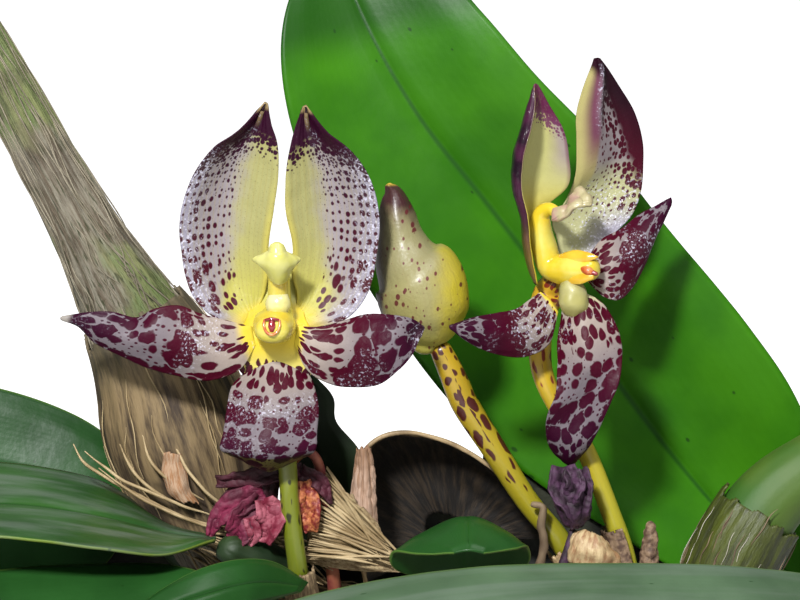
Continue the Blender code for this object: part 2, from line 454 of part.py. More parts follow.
def pseudobulbs(plant):
    for name, (axis, radii) in BULBS.items():
        plant.tube(name, axis, radii, "bulb", steps=2 * len(axis), sides=3)


def sheaths(plant):
    """The dry coats that wrap the feet of the two large pseudobulbs."""
    axis, radii = BULBS["pseudobulb_left"]
    rows = wrap_rows(axis, radii, *SHEATH_ANGLES, SHEATH_CLEARANCE_LEFT, stretch=(0.03, 0.5), columns=9)
    plant.blade("sheath_left", rows, SHEATH_THICKNESS, "dry", across=12, along=8)
    axis, radii = BULBS["pseudobulb_right"]
    rows = wrap_rows(axis, radii, *SHEATH_ANGLES, SHEATH_CLEARANCE_RIGHT, stretch=(0.12, 0.6), columns=9)
    plant.blade("sheath_right", rows, SHEATH_THICKNESS, "dry", across=12, along=8)


# The arched rim of the old sheath, and how far each next line lies in and back from it.
HOOD_RIM = [(-4.8, 14.4, 19.8), (-5.6, 10.5, 26), (-5.8, 10, 33), (-5.0, 10, 39.6), (0, 10.5, 42.2),
            (7.4, 11.5, 40.4), (14.6, 12, 35.6), (19.4, 12.5, 31), (21.4, 13, 26.4)]
HOOD_CENTRE = Vector((7.6, 22.5, 23.0))
HOOD_DEPTHS = [(1.0, 0.0), (0.92, 0.4), (0.66, 0.8), (0.3, 0.98)]


def dry_hood(plant):
    """An old leaf sheath, arched like a hood and open to the front."""
    rows = []
    for point in HOOD_RIM:
        rim = Vector(point)
        row = []
        for keep, back in HOOD_DEPTHS:
            inner = HOOD_CENTRE + (rim - HOOD_CENTRE) * keep
            inner.y = rim.y + (HOOD_CENTRE.y - rim.y) * back
            row.append(inner)
        rows.append(row)
    plant.blade("dry_hood", rows, SHEATH_THICKNESS, "dry", across=6, along=14)


def bracts(plant):
    """Small papery scales around the feet of the stalks."""
    for name, path, radii, place, angles, stretch in [
            ("flower_a_bract", A_STALK, A_STALK_RADII, FLOWER_A, (-110, 110), (0.74, 0.86)),
            ("flower_b_bract", B_STALK, B_STALK_RADII, FLOWER_B, (-20, 150), (0.78, 0.96)),
            ("bud_bract", BUD_STALK, BUD_STALK_RADII, (0, 0, 0), (-110, 110), (0.72, 0.95))]:
        axis = moved([path], place)[0]
        rows = wrap_rows(axis, radii, *angles, BRACT_CLEARANCE, stretch=stretch, rows=4)
        plant.blade(name, rows, SHEATH_THICKNESS, "dry", along=6)


SPENT_MAGENTA = [
    [(-19.5, 6.2, 38.0), (-17.6, 5.2, 38.6), (-15.6, 5.6, 38.2)],
    [(-23.4, 5.4, 35.4), (-20.0, 4.4, 35.0), (-16.6, 5.4, 35.6)],
    [(-25.0, 4.6, 33.2), (-21.0, 3.6, 32.8), (-16.8, 5.0, 32.4)],
    [(-25.2, 4.2, 31.6), (-21.4, 3.2, 31.0), (-17.4, 4.6, 30.6)],
    [(-24.0, 4.4, 30.4), (-22.0, 4.0, 30.0), (-19.4, 4.4, 29.8)],
]
SPENT_MAGENTA_STALK = [(-14.8, 6.2, 38.8), (-12.8, 6.2, 40.2), (-11.2, 6.0, 38.6), (-10.4, 7.0, 33.0),
                       (-9.6, 9.0, 25.0), (-9.0, 12.2, 18.8)]
SPENT_PURPLE = [
    [(21.6, 5.6, 37.4), (23.4, 4.8, 38.0), (25.2, 5.6, 37.4)],
    [(20.9, 4.8, 35.0), (23.4, 3.4, 35.0), (26.0, 4.8, 34.6)],
    [(21.6, 4.8, 32.2), (23.8, 3.4, 32.0), (26.2, 4.8, 31.8)],
    [(22.8, 5.8, 30.0), (23.8, 5.4, 29.8), (24.9, 5.8, 30.0)],
]
SPENT_PURPLE_STALK = [(23.8, 5.7, 29.3), (23.0, 5.0, 26.6), (21.8, 5.4, 22.6), (20.6, 8.4, 16.2)]
DRY_HOOK = [(18.2, 4.6, 33.2), (19.6, 4.2, 32.8), (19.4, 4.4, 30.2), (19.8, 5.0, 27.2), (18.6, 6.6, 22.0),
            (17.4, 10.4, 16.2)]


def spent_flowers(plant):
    """Two withered flowers and one bare dry stalk."""
    plant.blade("spent_flower_left", moved(SPENT_MAGENTA, (0, 0, 0)), SPENT_THICKNESS, "spent", along=8)
    plant.tube("spent_stalk_left", SPENT_MAGENTA_STALK, [0.6, 0.6, 0.7, 0.8, 0.9, 1.0], "spent")
    plant.blade("spent_flower_right", moved(SPENT_PURPLE, (0, 0, 0)), SPENT_THICKNESS, "spent", along=8)
    plant.tube("spent_stalk_right", SPENT_PURPLE_STALK, [0.5, 0.6, 0.7, 0.8], "spent")
    plant.tube("dry_stalk", DRY_HOOK, [0.4, 0.5, 0.6, 0.6, 0.7, 0.8], "dry")


def rhizome(plant):
    plant.tube("rhizome", RHIZOME, [2.6, 3.0, 3.0, 3.0, 3.0, 2.8, 2.2], "dry", steps=18, sides=3)


def mat_top(x):
    """Height of the root mat below the rhizome, which slopes down to the right."""
    return 12.2 - 0.115 * x


def mat_edge(angle):
    """A point of the mat's rippled outline, on the surface."""
    ripple = 1 + MAT_RIPPLE * math.sin(5 * angle)
    x = MAT_CENTRE[0] + MAT_HALF_WIDTH * math.cos(angle)
    y = MAT_CENTRE[1] + MAT_HALF_DEPTH * ripple * math.sin(angle)
    return Vector((x, y, 0))


def root_mat(plant):
    """The matted roots under the rhizome, flat below."""
    dome = bmesh.new()
    bmesh.ops.create_uvsphere(dome, u_segments=28, v_segments=12, radius=1.0)
    lower = [vert for vert in dome.verts if vert.co.z < -0.01]
    bmesh.ops.delete(dome, geom=lower, context="VERTS")
    bmesh.ops.contextual_create(dome, geom=[edge for edge in dome.edges if edge.is_boundary])
    middle = Vector((*MAT_CENTRE, 0))
    for vert in dome.verts:
        reach = math.hypot(vert.co.x, vert.co.y)
        edge = mat_edge(math.atan2(vert.co.y, vert.co.x))
        place = middle + (edge - middle) * reach
        place.z = max(vert.co.z, 0.0) * mat_top(place.x)
        vert.co = place * MM
    mesh = bpy.data.meshes.new("root_mat")
    dome.to_mesh(mesh)
    dome.free()
    plant.add("root_mat", mesh, "root")


# Each root leaves the mat at an angle in degrees and then goes through these steps, right and away.
ROOTS = [
    (180, [(-12, 3), (-22, -2), (-34, 1)]),
    (212, [(-10, -6), (-16, -18), (-27, -23)]),
    (240, [(-3, -10), (4, -20), (0, -31)]),
    (275, [(4, -10), (-2, -21), (5, -34)]),
    (312, [(9, -8), (22, -8), (31, -18)]),
    (345, [(12, 0), (22, 7), (36, 5)]),
    (38, [(12, 8), (16, 19), (29, 25)]),
    (85, [(-2, 10), (5, 20), (1, 32)]),
    (132, [(-9, 9), (-8, 19), (-19, 26)]),
]
ROOT_RADII = [1.0, 1.0, 0.9, 0.6]


def roots(plant):
    """Single roots that run out of the mat along the surface."""
    for number, (angle, steps) in enumerate(ROOTS, 1):
        edge = mat_edge(math.radians(angle))
        outward = (edge - Vector((*MAT_CENTRE, 0))).normalized()
        start = edge + outward * ROOT_START
        route = [start] + [start + Vector((right, away, 0)) for right, away in steps]
        path = [Vector((point.x, point.y, radius)) for point, radius in zip(route, ROOT_RADII)]
        plant.tube(f"root_{number}", path, ROOT_RADII, "root")


def main():
    clear_scene()
    plant = Plant()
    flower_a(plant)
    flower_b(plant)
    bud(plant)
    leaves(plant)
    pseudobulbs(plant)
    sheaths(plant)
    dry_hood(plant)
    bracts(plant)
    spent_flowers(plant)
    rhizome(plant)
    root_mat(plant)
    roots(plant)


main()
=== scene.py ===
"""Looks of the bulbophyllum orchid: fine surfaces, materials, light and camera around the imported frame."""
import math
import random

import bmesh
import bpy
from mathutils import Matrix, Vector, noise


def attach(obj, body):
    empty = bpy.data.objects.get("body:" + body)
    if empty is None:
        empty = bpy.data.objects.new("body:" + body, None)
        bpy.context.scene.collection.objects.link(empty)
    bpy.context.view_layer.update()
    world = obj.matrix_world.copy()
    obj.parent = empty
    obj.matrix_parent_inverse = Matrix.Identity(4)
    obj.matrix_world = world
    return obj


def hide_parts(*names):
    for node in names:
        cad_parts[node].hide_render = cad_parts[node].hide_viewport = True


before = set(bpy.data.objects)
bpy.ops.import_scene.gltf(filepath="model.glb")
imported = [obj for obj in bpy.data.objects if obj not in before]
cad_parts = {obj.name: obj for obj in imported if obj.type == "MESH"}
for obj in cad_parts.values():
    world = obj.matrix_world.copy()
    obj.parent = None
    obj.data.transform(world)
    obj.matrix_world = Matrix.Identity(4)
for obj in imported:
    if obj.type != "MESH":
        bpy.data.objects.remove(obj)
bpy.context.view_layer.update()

MM = 0.001
BODY = "root"
TO_VIEWER = (0, -1, 0.6)

# The camera stands half a metre in front of the flowers and looks a little down at them.
VIEW_DISTANCE = 0.5
VIEW_TILT = math.radians(7.0)
VIEW_HEIGHT = 0.062
VIEW_WIDTH = 0.108
SENSOR_WIDTH = 36.0
NEAREST = 0.01

# The floor and the world are white to the camera and throw little light on the plant.
FLOOR_HALF = 6.0
FLOOR_GREY = 0.60
FLOOR_ROUGHNESS = 0.9
WHITE_SEEN = 1.0
FLOOR_FELT = 0.12
WORLD_FELT = 0.20

# Each lamp aims at the flowers. Its place is in metres, its power in watts.
LAMP_AIM = (0.0, 0.0, 0.055)
LAMPS = {
    "flash": {"where": (-0.14, -0.50, 0.38), "power": 6.6, "size": 0.06, "colour": (0.98, 0.99, 1.0)},
    "softbox": {"where": (0.25, -0.35, 0.70), "power": 3.0, "size": 0.4, "colour": (1.0, 1.0, 1.0)},
}

TEPAL_THICKNESS = 0.5
LIP_THICKNESS = 1.3
LEAF_THICKNESS = 1.1
LEAF_GROOVE = 0.55
LEAF_WAVE = 0.8
SHEATH_THICKNESS = 0.4
FLAKE_THICKNESS = 0.5
# The share of a blade over which it thins to its margin.
MARGIN_SHARE = 0.16
# Points closer than this are merged, in millimetres.
MERGE_DISTANCE = 0.002
# Rows and columns of points in a sheath that is wrapped around a stem.
WRAP_ROWS = 8
WRAP_COLUMNS = 9
# A stem's ends are domes: their share of its length, and their depth as a share of its radius.
CAP_SHARE = 0.05
CAP_DEPTH = 0.7
MAT_CENTRE = (4.0, 13.0)
MAT_HALF_WIDTH = 45.0
MAT_HALF_DEPTH = 26.0
MAT_RIPPLE = 0.05

# The plant's shape, in millimetres.
FLOWER_A = (-17.1, 0.0, 58.3)
FLOWER_B = (21.9, 8.0, 63.1)
# The creeping rhizome, from its old left end to its growing tip.
RHIZOME = [(-29, 21, 21.0), (-14, 17, 17.6), (4, 14, 15), (24, 12, 12.4), (42, 13, 10.2), (58, 20, 8),
           (68, 27, 5.6)]
RHIZOME_RADII = [2.6, 3.0, 3.0, 3.0, 3.0, 2.8, 2.2]

# Flower A faces the viewer. Its points are in millimetres from the middle of its column.

A_LATERAL_LEFT = [
    [(-3.7, 1.6, -0.5), (-3.1, 2.0, 0.6), (-2.5, 2.8, 1.8)],
    [(-8.2, 1.3, 1.2), (-5.0, 2.7, 2.8), (-1.3, 3.2, 4.2)],
    [(-11.2, 1.0, 4.7), (-6.1, 3.4, 5.8), (-0.7, 2.9, 7.0)],
    [(-12.4, 0.5, 10.4), (-6.6, 3.8, 10.8), (-0.6, 2.2, 10.9)],
    [(-12.4, 0.0, 15.5), (-6.3, 3.8, 16.1), (0.1, 1.4, 15.5)],
    [(-10.7, -0.3, 20.5), (-5.3, 3.2, 21.2), (0.8, 0.8, 20.5)],
    [(-8.0, -0.5, 24.2), (-3.9, 2.2, 24.8), (0.7, 0.2, 24.6)],
    [(-4.5, -0.6, 26.7), (-2.3, 1.0, 27.7), (-0.1, -0.2, 27.3)],
    [(-1.2, -0.9, 30.2), (-0.9, -0.8, 30.5), (-0.6, -0.9, 30.2)],
]
A_LATERAL_RIGHT = [
    [(3.0, 2.8, 1.8), (3.4, 2.0, 0.6), (4.0, 1.6, -0.5)],
    [(3.1, 3.2, 4.2), (5.8, 2.7, 2.8), (9.7, 1.3, 0.9)],
    [(2.4, 2.9, 7.0), (7.2, 3.4, 5.6), (12.8, 1.0, 4.7)],
    [(2.5, 2.2, 10.9), (8.0, 3.8, 10.4), (14.0, 0.5, 10.1)],
    [(1.6, 1.4, 15.5), (7.8, 3.8, 15.5), (14.3, 0.0, 15.3)],
    [(1.6, 0.8, 19.8), (7.2, 3.2, 20.1), (13.0, -0.3, 20.3)],
    [(2.0, 0.2, 23.0), (6.1, 2.2, 23.9), (10.5, -0.5, 23.9)],
    [(3.0, -0.2, 26.9), (5.0, 1.0, 27.1), (7.2, -0.6, 26.6)],
    [(4.1, -0.9, 29.8), (4.4, -0.8, 30.1), (4.7, -0.9, 29.8)],
]
A_PETAL_LEFT = [
    [(-2.9, 0.2, 0.1), (-2.7, 0.0, -1.1), (-2.4, -0.2, -2.4)],
    [(-7.0, 0.0, 1.1), (-6.3, -0.9, -2.6), (-4.6, -0.6, -5.7)],
    [(-10.1, -0.4, 2.0), (-9.5, -1.8, -2.6), (-8.8, -0.4, -7.2)],
    [(-12.8, -1.0, 3.1), (-12.8, -2.4, -1.9), (-13.1, -0.2, -6.6)],
    [(-15.9, -1.4, 2.7), (-16.6, -2.6, -1.4), (-17.0, -0.4, -5.5)],
    [(-18.4, -0.6, 1.4), (-19.7, -2.0, -1.2), (-21.3, -0.6, -3.5)],
    [(-21.7, -1.4, 2.3), (-23.0, -1.8, 0.0), (-24.2, -0.6, -2.0)],
    [(-25.0, -1.2, 2.2), (-25.5, -1.2, 1.1), (-26.3, -0.6, 0.1)],
    [(-28.5, 0.0, 1.5), (-28.8, 0.0, 1.2), (-28.5, 0.0, 0.9)],
]
A_PETAL_RIGHT = [
    [(2.8, -0.2, -2.4), (3.0, 0.0, -1.1), (3.2, 0.2, 0.1)],
    [(4.7, -0.6, -5.9), (5.7, -0.9, -2.7), (6.6, 0.0, 0.1)],
    [(7.7, -0.4, -7.7), (9.2, -1.8, -3.1), (9.9, -0.4, 1.1)],
    [(10.7, -0.6, -8.1), (12.3, -2.6, -2.7), (12.6, -1.0, 1.9)],
    [(14.2, -1.6, -7.6), (15.3, -3.4, -2.4), (15.1, -1.8, 2.0)],
    [(16.7, -2.6, -5.7), (17.6, -2.8, -1.8), (17.1, -2.8, 1.9)],
    [(18.8, -2.2, -3.4), (19.0, -1.4, -0.8), (18.9, -2.4, 1.4)],
    [(20.1, -1.1, -0.5), (20.4, -1.0, -0.1), (20.3, -1.1, 0.3)],
]
A_DORSAL = [
    [(-2.2, 1.7, -2.5), (0.2, 1.2, -2.4), (2.6, 1.7, -2.5)],
    [(-3.9, 1.1, -6.1), (0.3, -0.2, -5.8), (4.5, 1.1, -6.1)],
    [(-5.7, 0.4, -8.2), (0.0, -2.2, -8.8), (5.5, 0.4, -8.2)],
    [(-6.3, -1.2, -10.9), (-0.1, -3.6, -11.5), (6.1, -1.2, -10.9)],
    [(-6.7, -2.8, -13.9), (-0.4, -4.8, -14.3), (5.9, -2.8, -13.9)],
    [(-7.1, -3.4, -16.1), (-0.7, -5.0, -16.6), (5.7, -3.4, -16.2)],
    [(-5.0, -1.8, -17.6), (-0.8, -3.2, -18.4), (3.9, -1.8, -17.6)],
    [(-2.0, 0.0, -19.0), (-0.7, -0.4, -19.7), (0.9, 0.0, -19.0)],
]
A_COLUMN = [(0.0, -5.2, 0.3), (0.1, -3.0, 0.4), (0.2, -0.8, 0.6), (0.6, 0.7, 2.2), (0.9, 1.0, 4.5),
            (0.9, 0.6, 6.4), (0.9, -0.5, 7.6), (0.9, -2.1, 8.0)]
A_COLUMN_RADII = [1.8, 2.2, 2.3, 1.7, 1.4, 1.35, 1.25, 1.0]
A_STALK = [(0.2, 2.4, 0.4), (0.2, 3.7, -0.4), (0.5, 4.6, -3.6), (0.9, 3.8, -9), (1.75, 2.4, -19.2),
           (2.1, 2.4, -25), (3.1, 3.6, -34), (3.8, 7.6, -39.6), (4.0, 13.0, -41.2)]
A_STALK_RADII = [1.5, 2.5, 2.1, 1.6, 1.3, 1.3, 1.35, 1.4, 1.4]

# Flower B is turned to the right. Its points are in millimetres from below its column.

B_LATERAL_NEAR = [
    [(-3.1, -1.2, 0.2), (-3.4, -0.5, 0.2), (-3.5, 0.2, 0.3), (-3.5, 0.8, 0.4), (-3.4, 1.3, 0.6)],
    [(-4.0, -2.8, 4.8), (-4.5, -2.0, 4.8), (-4.8, -0.3, 4.8), (-4.7, 0.9, 4.8), (-4.3, 1.7, 4.8)],
    [(-4.5, -4.0, 9.6), (-5.3, -2.8, 9.6), (-5.2, -0.2, 9.6), (-4.3, 1.7, 9.6), (-2.6, 2.3, 9.8)],
    [(-5.4, -4.6, 13.7), (-6.4, -3.2, 13.7), (-6.0, -0.4, 13.7), (-2.9, 2.1, 13.7), (1.1, 1.3, 13.5)],
    [(-5.2, -4.6, 17.8), (-6.3, -3.2, 17.8), (-5.9, -0.4, 17.8), (-2.6, 2.0, 17.8), (1.2, 1.0, 17.6)],
    [(-4.2, -4.0, 21.5), (-5.3, -2.8, 21.5), (-4.9, -0.4, 21.5), (-2.4, 1.4, 21.5), (0.4, 0.6, 21.3)],
    [(-3.6, -3.0, 24.7), (-4.4, -2.2, 24.7), (-4.1, -0.8, 24.7), (-2.8, 0.4, 24.7), (-1.5, 0.2, 24.6)],
    [(-3.7, -1.7, 27.5), (-3.6, -1.6, 27.6), (-3.4, -1.4, 27.7), (-3.3, -1.2, 27.6), (-3.1, -1.1, 27.5)],
]
B_LATERAL_FAR = [
    [(0.2, 3.0, 1.8), (0.9, 3.2, 1.2), (1.8, 3.1, 1.0), (2.9, 2.8, 1.2)],
    [(-0.2, 3.6, 5.6), (1.6, 4.6, 4.8), (4.1, 5.4, 4.8), (7.1, 5.6, 5.8)],
    [(-0.9, 3.9, 8.6), (0.9, 5.0, 8.2), (5.2, 6.2, 8.1), (10.1, 6.6, 8.8)],
    [(0.9, 3.4, 11.2), (2.7, 4.8, 12.1), (6.6, 6.6, 12.2), (11.5, 7.4, 12.1)],
    [(2.2, 2.9, 14.9), (4.5, 4.0, 15.6), (7.7, 6.4, 15.8), (11.8, 7.6, 16.0)],
    [(2.3, 2.3, 19.2), (5.1, 3.2, 19.5), (8.1, 5.8, 19.5), (11.6, 7.0, 19.6)],
    [(2.2, 1.4, 23.2), (4.9, 2.4, 23.2), (7.5, 4.8, 23.3), (10.3, 5.8, 23.6)],
    [(3.0, 0.8, 26.7), (5.1, 1.6, 26.6), (6.7, 3.2, 26.7), (8.4, 4.0, 26.7)],
    [(4.0, 0.5, 29.5), (5.3, 1.0, 29.5), (6.0, 1.7, 29.5), (6.7, 2.2, 29.3)],
    [(4.5, 0.2, 31.0), (4.8, 0.4, 31.1), (5.1, 0.6, 31.1), (5.4, 0.8, 31.0)],
]
B_PETAL_FAR = [
    [(3.9, 0.9, 0.3), (3.8, 1.3, 1.8), (3.8, 1.7, 3.3)],
    [(6.1, -0.6, -1.6), (6.0, -0.2, 2.3), (5.7, 1.8, 6.0)],
    [(8.6, 0.4, -1.9), (8.7, 0.1, 3.7), (8.6, 2.8, 7.5)],
    [(11.1, 1.8, 1.1), (11.4, 1.6, 5.9), (11.0, 3.8, 9.3)],
    [(13.2, 3.0, 5.8), (13.3, 3.0, 8.1), (13.0, 4.2, 10.3)],
    [(14.7, 4.2, 8.8), (14.7, 4.2, 10.0), (14.5, 4.7, 11.1)],
    [(15.6, 5.0, 10.8), (15.6, 5.0, 11.2), (15.5, 5.0, 11.6)],
]
B_PETAL_NEAR = [
    [(-2.7, -2.2, -0.7), (-1.4, -2.5, -1.8), (-0.3, -2.4, -3.4)],
    [(-4.3, -3.6, -1.6), (-3.5, -4.6, -4.5), (-1.5, -3.2, -7.6)],
    [(-6.2, -5.0, -2.7), (-5.9, -6.4, -5.5), (-4.5, -4.8, -9.2)],
    [(-8.9, -7.0, -3.0), (-8.6, -8.2, -5.5), (-7.8, -6.6, -8.9)],
    [(-11.6, -8.6, -3.3), (-11.4, -9.6, -4.9), (-11.0, -8.4, -7.7)],
    [(-13.8, -10.0, -3.8), (-13.7, -10.6, -4.7), (-13.3, -10.0, -6.2)],
    [(-15.2, -11.0, -4.1), (-15.3, -11.0, -4.4), (-15.1, -11.0, -4.7)],
]
B_DORSAL = [
    [(0.2, -0.6, -1.0), (1.8, -1.2, -0.8), (3.4, -0.4, -1.0)],
    [(0.3, -1.2, -3.4), (2.8, -2.8, -3.2), (6.0, -1.4, -2.6)],
    [(-0.3, -1.8, -7.1), (3.3, -4.2, -6.7), (7.9, -2.4, -5.9)],
    [(-0.4, -3.0, -10.7), (3.8, -5.0, -10.3), (8.4, -3.6, -9.2)],
    [(-0.7, -4.6, -14.5), (3.6, -4.0, -13.8), (7.9, -5.4, -12.7)],
    [(-1.8, -4.6, -17.4), (2.3, -3.2, -17.0), (6.4, -5.0, -16.6)],
    [(-1.9, -3.2, -20.4), (1.5, -3.4, -20.4), (4.9, -3.6, -20.3)],
    [(-1.0, -1.6, -22.9), (1.4, -2.4, -23.0), (3.6, -2.0, -22.7)],
    [(1.1, -0.4, -24.9), (1.5, -0.6, -25.2), (2.0, -0.4, -24.9)],
]
B_COLUMN = [(4.1, -3.4, 2.6), (2.1, -1.8, 2.4), (0.2, -0.2, 2.2), (-1.4, 0.7, 2.9), (-2.2, 0.8, 5.5),
            (-2.7, 0.5, 8.0), (-2.5, 0.0, 9.8), (-1.5, -0.9, 10.5), (-0.4, -1.8, 10.1)]
B_COLUMN_RADII = [1.6, 2.1, 2.1, 1.7, 1.4, 1.3, 1.1, 0.9, 0.7]
B_STALK = [(-0.6, 2.3, 0.2), (-1.2, 3.8, -1.4), (-2.4, 3.9, -5.4), (-2.3, 2.6, -12.1), (0.2, 2.2, -17.8),
           (3.7, 2.6, -23.2), (7.1, 3.0, -31.5), (9.6, 3.4, -39), (10.6, 4.0, -47.6)]
B_STALK_RADII = [1.3, 2.2, 1.8, 1.5, 1.35, 1.35, 1.35, 1.4, 1.5]

# Everything below is in millimetres from the middle of the underside.

BUD = [(3.4, 9, 54.6), (3.5, 9, 56.2), (3.4, 9, 58.6), (3.2, 9, 61.2), (2.4, 9, 64.2), (1.0, 9, 66.6),
       (0.2, 9, 69.2), (-0.4, 9, 72.4), (-0.9, 9, 75.4), (-1.6, 9, 76.7)]
BUD_RADII = [1.8, 4.0, 5.7, 6.3, 6.1, 4.6, 3.3, 2.6, 1.5, 0.4]
BUD_STALK = [(5.6, 9, 54.0), (7.2, 9, 50.6), (9.0, 8.8, 46.4), (12.6, 8.4, 40.8), (17.6, 8.2, 33.0),
             (22.0, 8.4, 27.6), (25.0, 9.6, 21.8), (26.0, 11.2, 15.8)]
BUD_STALK_RADII = [1.5, 1.8, 1.9, 1.75, 1.6, 1.55, 1.5, 1.5]

# Each pseudobulb is its axis, from its foot to where its leaf starts, with the radius at each point.

BULBS = {
    "pseudobulb_left": ([(-25.4, 19, 25.4), (-30.5, 18, 40), (-33.8, 17, 51), (-38.6, 16, 60.5),
                         (-45.0, 14.5, 72.6), (-54.4, 13, 90.4), (-60.9, 12.5, 102.1)],
                        [6.8, 9.6, 8.2, 6.2, 4.4, 3.6, 3.3]),
    "pseudobulb_right": ([(42.0, 12, 14.6), (44.4, 10, 20), (47.6, 9.5, 27), (51.5, 10, 33), (58, 10.5, 38),
                          (66.5, 11.1, 42.5)], [3.0, 5.2, 5.6, 5.2, 4.6, 3.6]),
    "pseudobulb_back": ([(66.9, 30.8, 7.2), (64.0, 32.0, 10.6), (60.2, 31.6, 15.5)], [2.6, 4.2, 2.4]),
    "pseudobulb_low_back": ([(-25.4, 25.6, 19.4), (-30.6, 30, 22.6), (-36, 31, 27.6)], [2.8, 3.8, 2.2]),
    "pseudobulb_low_middle": ([(-15.4, 11.6, 21.4), (-19.5, 6.5, 24.6), (-23.4, 2.4, 27.4)], [2.8, 3.4, 2.0]),
    "pseudobulb_low_front": ([(-18.8, 14.0, 16.6), (-21.4, 5.0, 15.8), (-21.6, -1.8, 18.4)], [2.4, 3.6, 2.2]),
    "pseudobulb_middle": ([(8.2, 8.6, 15.0), (8.6, 6.6, 18.0), (8.8, 6, 20.6)], [2.6, 3.2, 2.2]),
    "pseudobulb_front": ([(51.6, 12.8, 9.4), (57.5, 4, 12), (61.6, -4.6, 16.0)], [2.6, 4.0, 2.4]),
}

